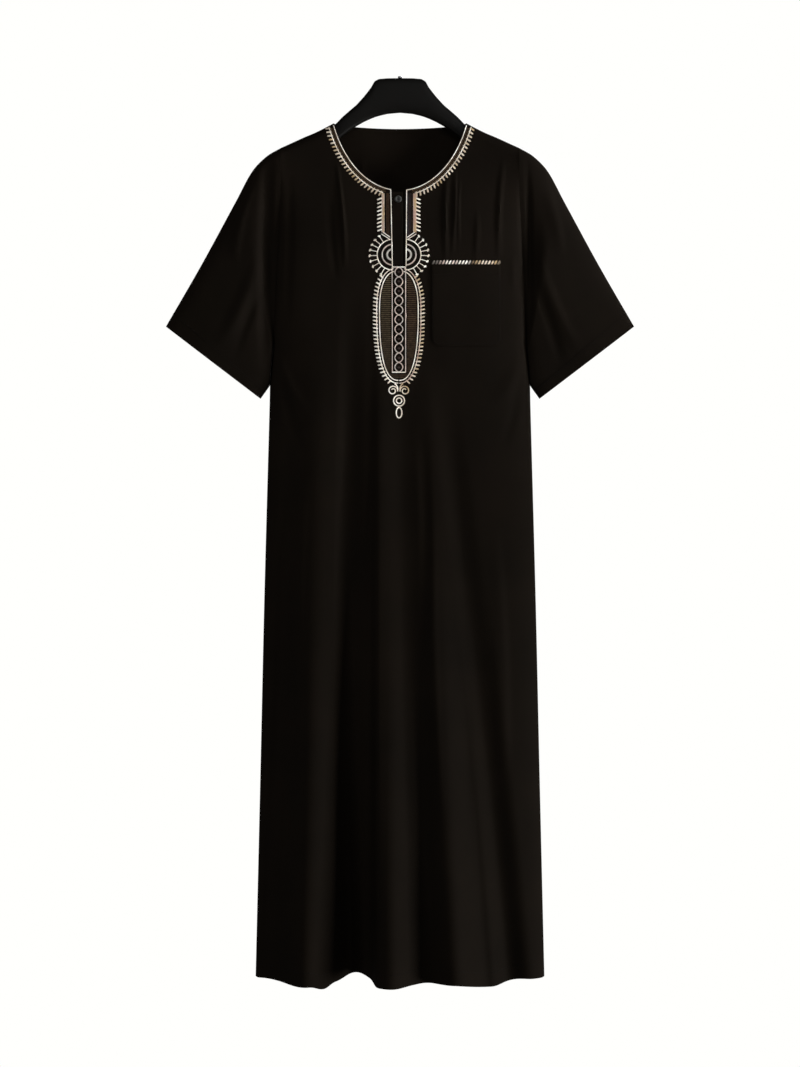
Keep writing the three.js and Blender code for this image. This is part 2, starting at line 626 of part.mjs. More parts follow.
// Narrow binding round the back of the neck, outside the panel.
function backBinding() {
  const { wide, reach, below, off, thick } = BACK_BINDING;
  const columns = 25;
  const at = (i, j) => {
    const x = lerp(-reach, reach, j / (columns - 1));
    return offPanel(1, x, backNeckline(x) - below - (wide * i) / 2, off);
  };
  return wall(3, columns, at, thick, false, -1);
}

// The hanger is one moulding, lofted from tip to tip.
function hanger() {
  const beyond = HANGER.slice(1).reverse();
  const rows = [...beyond.map((row) => ({ ...row, x: -row.x })), ...HANGER];
  const round = 12;
  const points = [];
  for (const { x, top, bottom, half: deep } of rows) {
    for (let j = 0; j < round; j++) {
      const a = (2 * Math.PI * (j + 0.5)) / round;
      const c = Math.sign(Math.cos(a)) * Math.abs(Math.cos(a)) ** HANGER_POWER;
      const s = Math.sign(Math.sin(a)) * Math.abs(Math.sin(a)) ** HANGER_POWER;
      points.push(new THREE.Vector3(x, deep * s, lerp(bottom, top, (1 + c) / 2)));
    }
  }
  const triangles = [];
  for (let i = 0; i < rows.length - 1; i++)
    for (let j = 0; j < round; j++) {
      const [a, b] = [i * round + j, i * round + ((j + 1) % round)];
      triangles.push([a, b, b + round], [a, b + round, a + round]);
    }
  const last = (rows.length - 1) * round;
  for (let j = 1; j < round - 1; j++) {
    triangles.push([0, j + 1, j]);
    triangles.push([last, last + j, last + j + 1]);
  }
  return geometryOf(points, triangles);
}

const garment = new THREE.Group();
function add(name, geometry, finish) {
  const mesh = new THREE.Mesh(geometry, new THREE.MeshStandardMaterial(finish));
  mesh.name = name;
  garment.add(mesh);
  return mesh;
}

add("front_panel", frontPanel(), BLACK_CLOTH);
add("back_panel", back, BLACK_CLOTH);
add("sleeve_right", sleeve(1), BLACK_CLOTH);
add("sleeve_left", sleeve(-1), BLACK_CLOTH);
add("neck_binding_back", backBinding(), BLACK_CLOTH);

const { x: mid, half: opening, bottom: slit } = PLACKET;
const { overlap } = UNDER_BAND;
const [underLeft, underRight] = [mid - opening - overlap, mid + opening + overlap];
const behind = -(CLOTH + SEAM);
const under = layer(underLeft, underRight, UNDER_BAND.top, slit - overlap, behind, UNDER_BAND.thick);
add("placket_under", under, BLACK_CLOTH);
const { gap, end, sunk } = OVER_BAND;
const over = layer(mid - opening + gap, end, OVER_BAND.top, slit + gap, -sunk, OVER_BAND.thick);
add("placket_over", over, BLACK_CLOTH);
add("chest_pocket", pocket(), BLACK_CLOTH);

add("neck_border_right", neckBorder(1), THREAD);
add("neck_border_left", neckBorder(-1), THREAD);
add("sun_right", sun(1), THREAD);
add("sun_left", sun(-1), THREAD);
add("oval_border", ovalBorder(), THREAD);
add("ring_column", ringColumn(), THREAD);
add("pendant", pendant(), THREAD);

const mouth = [
  [TRIM.x - TRIM.half, TRIM.z],
  [TRIM.x + TRIM.half, TRIM.z],
];
add("pocket_trim", line(spaced(mouth, 6), { ...HIGH, wide: TRIM.tall }), THREAD);

const button = new THREE.CylinderGeometry(BUTTON.r, BUTTON.r, BUTTON.thick, 20);
const seat = offPanel(-1, BUTTON.x, BUTTON.z, SEAM - OVER_BAND.sunk);
const buttonMesh = add("button", button, BUTTON_RESIN);
buttonMesh.position.set(BUTTON.x, seat.y - BUTTON.thick / 2, BUTTON.z);

add("hanger", hanger(), HANGER_PLASTIC);
const ferrule = new THREE.CylinderGeometry(FERRULE.r, FERRULE.r, FERRULE.base, 20);
const ferruleMesh = add("hanger_ferrule", ferrule, STEEL);
ferruleMesh.rotation.x = Math.PI / 2;
ferruleMesh.position.z = -FERRULE.base / 2;

export default garment;
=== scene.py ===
import math

import bpy
import numpy as np
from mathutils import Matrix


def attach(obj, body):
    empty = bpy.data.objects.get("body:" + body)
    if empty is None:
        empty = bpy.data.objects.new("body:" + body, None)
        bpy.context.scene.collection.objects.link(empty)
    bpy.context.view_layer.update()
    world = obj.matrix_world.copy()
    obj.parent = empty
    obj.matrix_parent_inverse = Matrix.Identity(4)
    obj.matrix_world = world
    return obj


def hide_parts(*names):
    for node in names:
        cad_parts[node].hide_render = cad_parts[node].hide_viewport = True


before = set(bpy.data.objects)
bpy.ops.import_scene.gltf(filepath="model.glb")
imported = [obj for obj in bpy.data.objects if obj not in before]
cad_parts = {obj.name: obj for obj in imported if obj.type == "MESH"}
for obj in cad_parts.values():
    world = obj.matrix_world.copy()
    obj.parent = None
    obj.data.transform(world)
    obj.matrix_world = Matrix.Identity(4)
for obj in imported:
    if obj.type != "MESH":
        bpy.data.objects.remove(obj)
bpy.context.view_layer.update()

# The front of the robe
# One length of black plain-woven polyester and cotton, cut with a round neck and a slit for the placket.
# It is sewn to the back at the shoulders and sides, and hangs in soft upright folds, a little uneven.
MM = 0.001
CLOTH = 1.2  # wall of the cloth, mm, as all sizes here
APART = 0.03  # from the plane between the front and the back
HEM, KNEE, CHEST, UNDERARM = -1439, -950, -430, -425  # heights
SHOULDER_END = (190, -114.6)
SHOULDER_ROUND, SHOULDER_POWER = 16, 2.2  # how far down the shoulder's round edge goes, and its roundness
NECK_POINT = 105  # x where the neckline meets the shoulder
NECK = (113, 170, -13.6)  # half width, depth and middle height of the neckline's ellipse
SLIT = (-14.0, 10.2, -306)  # left, right and bottom of the placket's opening
HEM_TURN = 24  # height of the turned-up hem
TURN_HIGH = 0.4  # how much a turned edge stands out
HEM_PUCKER = (0.25, 9, 7)  # height, spacing and half width of the puckers at the top of the hem
# Half width and height along the shoulder, then the height and half width of the body
SHOULDER = [(0, -18), (60, -49), (105, -74.4), (134, -89.4), (154, -98), SHOULDER_END]
WIDTH = [(-190, 190), (-300, 196.5), (-425, 202.5), (-450, 204.7), (-488, 207.7), (-524, 208.6)]
WIDTH += [(-840, 217.2), (-1126, 223.6), (HEM, 231)]
# Height, and how far the middle of the front and of the back stands out there
DEPTH = [(0, 12, 12.5), (-90, 12.5, 13), (-130, 15, 14.5), (-200, 20, 18), (-320, 25, 22)]
DEPTH += [(-600, 30, 27), (-1000, 34, 31), (HEM, 36, 35)]
# Share of the way from the shoulder to the underarm, and the armhole seam's depth
ARMHOLE = [(0, 18), (0.14, 18), (0.42, 8), (0.75, 6), (1, 6)]
# Folds: the crest's x at chest, knee and hem, where it starts, its height, its half widths to the left and to
# the right, how far its crest leans over, and how far it lifts the hem. The last three only shape the hem.
FRONT_FOLDS = [
    (-178, -193, -219, -430, -9, 14, 24, 0, 0),
    (-128, -139, -150, -380, 46, 58, 60, 0, 0),
    (-80, -82, -78, -300, -30, 28, 38, 0, 0),
    (-31, -30, -25, -400, 46, 24, 46, -7, 0),
    (-6, -2, 4, -640, 32, 34, 50, 0, 0),
    (46, 62, 88, -470, 44, 62, 56, 0, 3),
    (52, 124, 174, -380, -18, 30, 40, 0, 0),
    (-119, -119, -119, -380, 0, 22, 18, 0, -7),
    (-64, -64, -64, -300, 0, 36, 32, 0, 9),
    (142, 142, 142, -470, 0, 58, 58, 0, -9),
]
CREASE_LEAN = 2  # how much wider a ridge is on its left
# Creases: x and z of both ends, how far the middle bows out, height (minus for a trough) and half width
FRONT_CREASES = [
    (-187, -118, -196, -435, 2, 4.4, 4.6),
    (-176, -150, -181, -400, -3, -2.2, 9),
    (-100, -140, -86, -310, -3, 3.2, 3.6),
    (-112, -190, -101, -330, 2, -1.6, 9),
    (76, -150, 74, -300, 2, 3.0, 3.6),
    (88, -150, 84, -290, -2, 2.4, 3.2),
    (96, -170, 95, -270, 2, 1.8, 3.2),
    (166, -136, 158, -300, 3, 3.2, 3.8),
    (124, -220, 121, -300, -1, 2.0, 3.6),
    (181, -290, 182, -345, 0, 2.0, 5),
    (-196, -440, -142, -540, 8, 2.4, 11),
    (-190, -470, -150, -610, 6, -2.2, 12),
    (197, -438, 150, -530, -8, 2.6, 11),
    (192, -470, 160, -600, -5, -2.0, 12),
    (-150, -640, -158, -980, 5, 2.6, 12),
    (34, -560, 40, -900, -5, -3.2, 13),
    (52, -700, 66, -1180, 4, 2.4, 10),
    (150, -720, 166, -1120, -6, 3.0, 12),
    (-96, -900, -92, -1300, 4, -2.4, 11),
    (14, -960, 24, -1330, -4, 2.2, 9),
    (-208, -1120, -214, -1390, 3, -2.6, 9),
    (104, -1010, 112, -1360, 5, -1.4, 16),
]


def read(table, column, at):
    """A column of a table at places between its rows, on a smooth curve through them."""
    rows = np.array(sorted(table), float)
    x, y = rows[:, 0], rows[:, column]
    at = np.clip(at, x[0], x[-1])
    i = np.clip(np.searchsorted(x, at) - 1, 0, len(x) - 2)
    before = np.maximum(np.arange(len(x)) - 1, 0)
    after = np.minimum(np.arange(len(x)) + 1, len(x) - 1)
    slope = (y[after] - y[before]) / (x[after] - x[before])
    step, rise = x[i + 1] - x[i], y[i + 1] - y[i]
    t = (at - x[i]) / step
    a, b = slope[i] * step - rise, rise - slope[i + 1] * step
    return y[i] + rise * t + t * (1 - t) * (a + (b - a) * t)


def swell(t):
    """A soft bump, 1 in the middle and 0 from -1 and 1 outwards."""
    return np.cos(np.pi / 2 * np.clip(t, -1, 1)) ** 2


def ease(t):
    """A smooth step from 0 to 1."""
    t = np.clip(t, 0, 1)
    return t * t * (3 - 2 * t)


def turn_over(below):
    """Share of its depth that the cloth has, this far below the shoulder seam."""
    rest = 1 - np.clip(below / SHOULDER_ROUND, 0, 1)
    return (1 - rest**SHOULDER_POWER) ** (1 / SHOULDER_POWER)


def armhole_depth(down):
    """Depth of the armhole seam, at a share of the way down it."""
    down = np.clip(down, 0, 1)
    return read(ARMHOLE, 1, down) * np.sqrt(1 - down**8)


def creased(x, z, creases):
    """How far a table of creases stands out at x, z."""
    out = np.zeros(np.broadcast(x, z).shape)
    for x0, z0, x1, z1, bow, deep, wide in creases:
        long = math.hypot(x1 - x0, z1 - z0)
        ex, ez = (x1 - x0) / long, (z1 - z0) / long
        along = ((x - x0) * ex + (z - z0) * ez) / long
        across = (x - x0) * ez - (z - z0) * ex - bow * 4 * along * (1 - along)
        flank = np.where((across > 0) & (deep > 0), wide * CREASE_LEAN, wide)
        out += deep * np.sin(np.pi * np.clip(along, 0, 1)) ** 0.8 * swell(across / flank)
    return out


def hem_lift(x, folds):
    """How far the folds lift the hem at x."""
    lift = np.zeros(np.shape(x))
    for _, _, hem, _, _, left, right, _, lifts in folds:
        lift += lifts * swell((x - hem) / np.where(x < hem, left, right))
    return lift


def body(side, x, z, folds, creases):
    """The outer face of the front (side -1) or back (1) at flat place x, height z."""
    half = read(WIDTH, 1, z)
    share = np.minimum(np.abs(x) / half, 1)
    edge = armhole_depth((SHOULDER_END[1] - z) / (SHOULDER_END[1] - UNDERARM))
    edge = np.where(z < UNDERARM, 0, edge)
    middle = read(DEPTH, 1 if side < 0 else 2, z)
    out = edge + (middle - edge) * np.sqrt(1 - share**4)
    out = out * turn_over(read(SHOULDER, 1, np.abs(x)) - z)
    across, plain_side = x * 1.0, 1 - share**10
    # Each crest runs on a parabola through its places at chest, knee and hem, and the fold grows downwards
    for chest, knee, hem, starts, deep, left, right, lean, _ in folds:
        crest = chest * (z - KNEE) * (z - HEM) / ((CHEST - KNEE) * (CHEST - HEM))
        crest = crest + knee * (z - CHEST) * (z - HEM) / ((KNEE - CHEST) * (KNEE - HEM))
        crest = crest + hem * (z - CHEST) * (z - KNEE) / ((HEM - CHEST) * (HEM - KNEE))
        grown = np.clip((starts - z) / (starts - HEM), 0, 1)
        wide = (0.72 + 0.28 * grown) * np.where(x < crest, left, right)
        rise = grown**1.25 * swell((x - crest) / wide) * plain_side
        out = out + deep * rise
        across = across + lean * rise
    inside_seam = 1 - share**16
    # Small waves half a millimetre high lie all over, but for the shoulders
    ripple = 0.5 * np.sin(x / 13 + 1.7 * np.sin(z / 160)) * np.sin(z / 330 + x / 90)
    below_shoulder = ease((SHOULDER_END[1] - 40 - z) / 120)
    out = out + (creased(x, z, creases) + ripple * below_shoulder) * inside_seam
    above = z - HEM - hem_lift(x, folds)
    high, spacing, wide = HEM_PUCKER
    pucker = high * np.sin(2 * np.pi * x / spacing) * swell((above - HEM_TURN) / wide)
    out = out + (TURN_HIGH * ease((HEM_TURN - above) / 2) + pucker) * inside_seam
    y = side * (np.maximum(out, 0) + APART)
    return np.stack([across, y, np.broadcast_to(z, np.shape(across))], -1)


def front(x, z):
    return body(-1, x, z, FRONT_FOLDS, FRONT_CREASES)


def neckline(x):
    """Height of the front neckline at x."""
    wide, deep, middle = NECK
    return middle - deep * np.sqrt(np.maximum(0, 1 - (x / wide) ** 2))


def panel_places(places, top, folds, rows):
    """Flat x and z of a panel's grid, from its top edge to the hem. Its rows are closer at both ends."""
    turn = SHOULDER_ROUND / (SHOULDER_END[1] - HEM)
    over_shoulder = turn * np.linspace(0, 1, 8)[:-1] ** 1.8
    down_to_hem, hem_rows = np.linspace(turn, 0.976, rows), np.linspace(0.978, 1, 9)
    shares = np.concatenate([over_shoulder, down_to_hem, hem_rows])[:, None]
    shoulder = read(SHOULDER, 1, np.abs(places))
    start = np.where(np.abs(places) < NECK_POINT, np.minimum(top(places), shoulder), shoulder)
    hem = HEM + hem_lift(places / SHOULDER_END[0] * WIDTH[-1][1], folds)
    z = start + (hem - start) * shares
    return places / SHOULDER_END[0] * read(WIDTH, 1, z), z


def cloth_mesh(name, grid, flat, inward, wraps=False, hole=None, keep=None, thick=CLOTH):
    """A thin wall over a grid of outer points in mm, closed round its edges. Its UV map is the flat cloth.
    inward is 1 or -1 and turns the grid's normal to the inside. wraps joins the last column to the first,
    hole leaves cells out, and keep holds the inner points on their own side of a seam."""
    rows, columns = grid.shape[:2]
    if wraps:
        across = np.roll(grid, -1, 1) - np.roll(grid, 1, 1)
    else:
        across = np.gradient(grid, axis=1)
    normal = np.cross(across, np.gradient(grid, axis=0))
    normal /= np.maximum(np.linalg.norm(normal, axis=2, keepdims=True), 1e-9)
    inner = grid + inward * thick * normal
    if keep:
        inner = keep(inner)
    count = rows * columns
    index = np.arange(count).reshape(rows, columns)
    beside = np.roll(index, -1, 1)
    cells = np.ones((rows - 1, columns), bool)
    if not wraps:
        cells[:, -1] = False
    if hole is not None:
        cells &= ~hole
    corners = (index[:-1], beside[:-1], beside[1:], index[1:])
    outer = np.stack([c[cells] for c in corners], -1)
    start = outer.ravel()
    end = np.roll(outer, -1, 1).ravel()
    rim = ~np.isin(start * count + end, end * count + start)
    start, end = start[rim], end[rim]
    walls = np.stack([end, start, start + count, end + count], -1)
    faces = np.concatenate([outer, outer[:, ::-1] + count, walls])
    points = np.concatenate([grid.reshape(-1, 3), inner.reshape(-1, 3)])
    places = np.concatenate([flat.reshape(-1, 2)] * 2)
    used, faces = np.unique(faces, return_inverse=True)
    faces = faces.reshape(-1, 4)
    points, places = points[used], places[used]
    a, b, c = (points[faces[:, k]] for k in (0, 1, 2))
    if np.einsum("ij,ij->", a, np.cross(b, c)) < 0:
        faces = faces[:, ::-1]
    mesh = bpy.data.meshes.new(name)
    mesh.from_pydata((points * MM).tolist(), [], faces.tolist())
    layer = mesh.uv_layers.new(name="cloth")
    layer.data.foreach_set("uv", places[faces.ravel()].ravel())
    mesh.polygons.foreach_set("use_smooth", [True] * len(faces))
    mesh.set_sharp_from_angle(angle=math.radians(50))
    mesh.update()
    return mesh


def place(name, mesh, finish):
    """A new object at the origin, in a material. Its place is in its mesh."""
    mesh.materials.clear()
    mesh.materials.append(finish)
    made = bpy.data.objects.new(name, mesh)
    bpy.context.scene.collection.objects.link(made)
    return made


def linear(code):
    """The linear colour of an sRGB hex value."""
    parts = [int(code[i : i + 2], 16) / 255 for i in (1, 3, 5)]
    return [c / 12.92 if c <= 0.04045 else ((c + 0.055) / 1.055) ** 2.4 for c in parts] + [1.0]


def add(tree, kind, inputs=(), **settings):
    """Adds a node. Each input is named or numbered, and is a value or another node's socket."""
    made = tree.nodes.new(kind)
    for name, value in settings.items():
        setattr(made, name, value)
    for key, value in dict(inputs).items():
        if isinstance(value, bpy.types.NodeSocket):
            tree.links.new(value, made.inputs[key])
        else:
            made.inputs[key].default_value = value
    return made


def material(name, **sockets):
    """A new material, and its shader with these uniform values."""
    made = bpy.data.materials.new(name)
    made.use_nodes = True
    shader = made.node_tree.nodes["Principled BSDF"]
    for socket, value in sockets.items():
        shader.inputs[socket.replace("_", " ")].default_value = value
    return made, made.node_tree, shader


def woven(name, dark, light, thread):
    """Black polyester and cotton, plain woven: matt all over, with hardly a highlight, and a little warm.
    Threads are 0.35 mm apart on the real cloth. They are drawn at the given spacing, so that they show."""
    made, tree, shader = material(name, Roughness=0.82, Specular_IOR_Level=0.04)
    flat = add(tree, "ShaderNodeUVMap", uv_map="cloth").outputs["UV"]
    scale = 2 * math.pi / (20 * thread)  # at scale 1 the pattern repeats after 2 pi / 20
    warp, weft = (
        add(
            tree,
            "ShaderNodeTexWave",
            {"Vector": flat, "Scale": scale, "Distortion": 0.6, "Detail": 1.0, "Detail Scale": 0.4},
            bands_direction=direction,
        ).outputs["Fac"]
        for direction in ("X", "Y")
    )
    weave = add(tree, "ShaderNodeMath", {0: warp, 1: weft}, operation="MULTIPLY").outputs[0]
    # Faint patches about 110 mm across, and thick places in the yarn about 1.4 mm long
    here = add(tree, "ShaderNodeTexCoord").outputs["Object"]
    cloudy = add(tree, "ShaderNodeTexNoise", {"Vector": here, "Scale": 9.0, "Detail": 3.0}).outputs["Fac"]
    slub = add(tree, "ShaderNodeTexNoise", {"Vector": flat, "Scale": 0.7, "Detail": 2.0}).outputs["Fac"]
    # The colour runs from dark to light with the faint patches and with the weave: the weave's raised
    # crossings are painted lighter, a painted highlight on the thread tops
    patches_and_painted_highlight = add(tree, "ShaderNodeMath", {0: weave, 1: 0.35, 2: cloudy}, operation="MULTIPLY_ADD").outputs[0]
    ramp = add(tree, "ShaderNodeValToRGB", {"Fac": patches_and_painted_highlight})
    ramp.color_ramp.elements[0].position = 0.2
    ramp.color_ramp.elements[0].color = linear(dark)
    ramp.color_ramp.elements[1].color = linear(light)
    tree.links.new(ramp.outputs["Color"], shader.inputs["Base Color"])
    height = add(tree, "ShaderNodeMath", {0: slub, 1: 0.6, 2: weave}, operation="MULTIPLY_ADD").outputs[0]
    bump = add(tree, "ShaderNodeBump", {"Height": height, "Strength": 0.35, "Distance": 0.0002})
    tree.links.new(bump.outputs["Normal"], shader.inputs["Normal"])
    return made


black_cloth = woven("black_plain_weave", "#0A0704", "#120D08", thread=1.3)

# Places across a panel, measured at the shoulder, and closer together where the neckline is steep
one_half = np.concatenate([np.linspace(0, 84, 29), np.linspace(86, 104.9, 15), np.linspace(106, 190, 27)])
places = np.concatenate([-one_half[:0:-1], one_half])
slit_places = np.array(SLIT[:2]) * 0.985  # the panel is that much narrower at the shoulder than at the slit
left_cut, right_cut = (int(np.argmin(np.abs(places - edge))) for edge in slit_places)
places[[left_cut, right_cut]] = slit_places
x, z = panel_places(places, neckline, FRONT_FOLDS, rows=216)
bottom_row = int(np.argmin(np.abs(z[:, left_cut] - SLIT[2])))
x[: bottom_row + 1, left_cut] = SLIT[0]
x[: bottom_row + 1, right_cut] = SLIT[1]
z[bottom_row, left_cut : right_cut + 1] = SLIT[2]
hole = np.zeros((len(z) - 1, len(places)), bool)
hole[:bottom_row, left_cut:right_cut] = True


def off_middle(side):
    """Keeps the points of the front (side -1) or back (1) on their side of the middle plane."""

    def keep(points):
        points[..., 1] = side * np.maximum(side * points[..., 1], APART)
        return points

    return keep


mesh = cloth_mesh("front", front(x, z), np.stack([x, z], -1), 1, hole=hole, keep=off_middle(-1))
front_piece = place("robe_front", mesh, black_cloth)
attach(front_piece, "root")
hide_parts("front_panel")

# The back of the robe
# The same cloth, cut whole with a shallow neck, and sewn to the front. It hangs in its own folds, one over
# the next.
BACK_NECK = (-81.4, 6.6)  # height of its neckline in the middle, and how far it rises to the shoulder
BACK_FOLDS = [
    (-150, -155, -166, -400, 36, 52, 44, 0, 0),
    (-88, -84, -88, -330, -16, 36, 34, 0, 6),
    (-40, -34, -30, -440, 50, 52, 40, 14, 0),
    (22, 26, 32, -300, -14, 30, 34, 0, 5),
    (70, 82, 94, -420, 46, 46, 62, -16, 0),
    (150, 160, 178, -520, 24, 36, 30, 0, 0),
]
BACK_CREASES = [
    (-184, -132, -190, -350, 3, 2.4, 6),
    (186, -130, 190, -330, -3, 2.4, 6),
    (-120, -150, -104, -330, -3, 2.2, 5),
    (66, -140, 74, -300, 3, 2.0, 5),
    (112, -160, 104, -360, -2, -1.8, 8),
    (-60, -120, -52, -260, 2, -1.6, 9),
    (-196, -436, -146, -540, 8, 2.6, 11),
    (196, -438, 140, -560, -8, 2.6, 11),
    (-110, -620, -122, -1010, 5, 2.8, 12),
    (0, -560, 4, -960, -4, -2.8, 12),
    (128, -640, 134, -1080, 6, -2.8, 13),
    (52, -880, 60, -1290, 4, 2.4, 10),
    (-196, -980, -208, -1350, -4, 2.6, 11),
    (190, -900, 204, -1300, 4, -2.6, 11),
]


def back(x, z):
    return body(1, x, z, BACK_FOLDS, BACK_CREASES)


def back_neckline(x):
    """Height of the back neckline at x."""
    return BACK_NECK[0] + BACK_NECK[1] * (x / NECK_POINT) ** 2


places = np.concatenate([-one_half[:0:-1], one_half])
x, z = panel_places(places, back_neckline, BACK_FOLDS, rows=190)
mesh = cloth_mesh("back", back(x, z), np.stack([x, z], -1), -1, keep=off_middle(1))
back_piece = place("robe_back", mesh, black_cloth)
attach(back_piece, "root")
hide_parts("back_panel")

# The binding of the back neck
# A bias strip of the same black cloth, folded double and turned over the raw edge of the back neck. It is
# stitched down on the outside.
BINDING = (84, 0.9, 8)  # half its length, how far below the neckline it starts, and its width
half_long, starts_below, wide = BINDING
x = np.linspace(-half_long, half_long, 90)[None, :] * np.ones((9, 1))
down = np.linspace(0, 1, 9)[:, None]
z = back_neckline(x) - starts_below - wide * down
grid = back(x, z)
grid[..., 1] += 1.1 + 0.45 * (1 - (2 * down - 1) ** 4) + 0.08 * np.sin(x * 1.1)
mesh = cloth_mesh("binding", grid, np.stack([x, z], -1), -1, thick=0.8)
binding = place("back_neck_binding", mesh, black_cloth)
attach(binding, "root")
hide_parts("neck_binding_back")

# The two short sleeves
# Each is cut from one piece of the same cloth, sewn into a tube under the arm and set into the armhole.
# They hang flat and wide, with a turned and stitched cuff, and a long soft crease from the underarm.
SLEEVE_DEPTH = 18  # half the depth of its rounded section
SLEEVE_GAP = 0.12  # between it and the body
SLEEVE_BLEND = 0.3  # share of its length in which the armhole's section turns into its own
CUFF_TURN = 20
SLEEVE_LONG = 270  # from the armhole to the cuff, halfway down
SLEEVE_ROUND = 62  # units of the cloth's pattern to a radian round the sleeve
# Share of the way from the armhole to the cuff, and x and z of the sleeve's top edge and underside there
SLEEVE_TOP = [(0, *SHOULDER_END), (0.077, 213, -128), (0.17, 236, -151.5), (0.33, 262.5, -200)]
SLEEVE_TOP += [(0.674, 318.5, -303), (1, 374.5, -400)]
SLEEVE_UNDER = [(0, 202, UNDERARM), (0.3, 202, -450), (0.82, 205.4, -489), (1, 223, -515.5)]
# The creases on the back of one sleeve are those on the front of the other
SLEEVE_CREASES = {
    -1: [
        (-226, -300, -286, -436, -6, 3.4, 10),
        (-212, -330, -262, -450, 5, -2.8, 11),
        (-209, -105, -214, -470, 2, -8, 16),
        (-232, -170, -262, -300, 5, 2.4, 9),
    ],
    1: [
        (222, -290, 288, -440, 7, 3.0, 10),
        (214, -330, 256, -462, -4, -3.0, 11),
        (202, -125, 208, -400, -2, -4.5, 6.5),
        (236, -180, 258, -290, -4, 2.2, 9),
    ],
}


def sleeve(hand, turn, along):
    """The outer face of a sleeve, right (hand 1) or left (-1). turn goes round it from the top edge, and
    along goes out to the cuff."""
    down, side = (1 - np.cos(turn)) / 2, np.where(np.sin(turn) < 0, 1, -1)
    top = np.stack([read(SLEEVE_TOP, 1, along), read(SLEEVE_TOP, 2, along)], -1)
    under = np.stack([read(SLEEVE_UNDER, 1, along), read(SLEEVE_UNDER, 2, along)], -1)
    at = top + (under - top) * down[..., None]
    x, z = at[..., 0], at[..., 1]
    tall = np.linalg.norm(top - under, axis=-1)
    edge = np.where(down >= 1, 0, armhole_depth(down)) * turn_over(down * tall)
    plain = SLEEVE_DEPTH * (1 - np.abs(2 * down - 1) ** 2.6) ** (1 / 2.2)
    deep = edge + (plain - edge) * ease(along / SLEEVE_BLEND)
    seam = read(WIDTH, 1, z) + SLEEVE_GAP
    x = np.where(along <= 0, seam, np.maximum(seam, x))
    off_edge = 1 - np.abs(2 * down - 1) ** 6
    before, behind = (creased(way * x, z, SLEEVE_CREASES[way]) for way in (hand, -hand))
    crease = np.where(side < 0, before, behind)
    cuff = TURN_HIGH * ease((CUFF_TURN - (1 - along) * SLEEVE_LONG) / 2)
    wave = 0.9 * np.sin(x / 19 + z / 31) * ease(along / 0.2)
    deep = deep + (crease * ease(along / 0.05) + wave) * off_edge + cuff * np.minimum(off_edge * 3, 1)
    return np.stack([hand * x, side * np.maximum(deep, 0), z], -1)


def beside_body(hand):
    """Keeps the points of a sleeve outside the body's side seam."""

    def keep(points):
        seam = read(WIDTH, 1, points[..., 2]) + SLEEVE_GAP
        points[..., 0] = hand * np.maximum(hand * points[..., 0], seam)
        return points

    return keep


for hand, side_name in ((1, "right"), (-1, "left")):
    turn = np.linspace(0, 2 * np.pi, 121)[None, :-1]
    along = np.concatenate([np.linspace(0, 0.2, 16)[:-1], np.linspace(0.2, 1, 54)])[:, None]
    turn, along = np.broadcast_arrays(turn, along)
    flat = np.stack([turn * SLEEVE_ROUND, along * SLEEVE_LONG], -1)
    mesh = cloth_mesh("sleeve", sleeve(hand, turn, along), flat, -hand, wraps=True, keep=beside_body(hand))
    piece = place(f"short_sleeve_{side_name}", mesh, black_cloth)
    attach(piece, "root")
    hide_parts(f"sleeve_{side_name}")

# Hem and cuff stitching
# Black polyester sewing thread in a straight machine stitch, about 3 mm long, holding the turned-up edges.
# Each stitch is a short arched length of thread. All the sewing and embroidery below is laid the same way.
SEAM_STITCH = (2.7, 0.45, 0.5)  # length, width and height
SEAM_PITCH = 3.3
CUFF_STITCH = {"size": (4.2, 0.45, 0.5), "pitch": 4.6}
SEWN_BELOW = (2, 1.5)  # from the upper edge of the turned hem and of the turned cuff


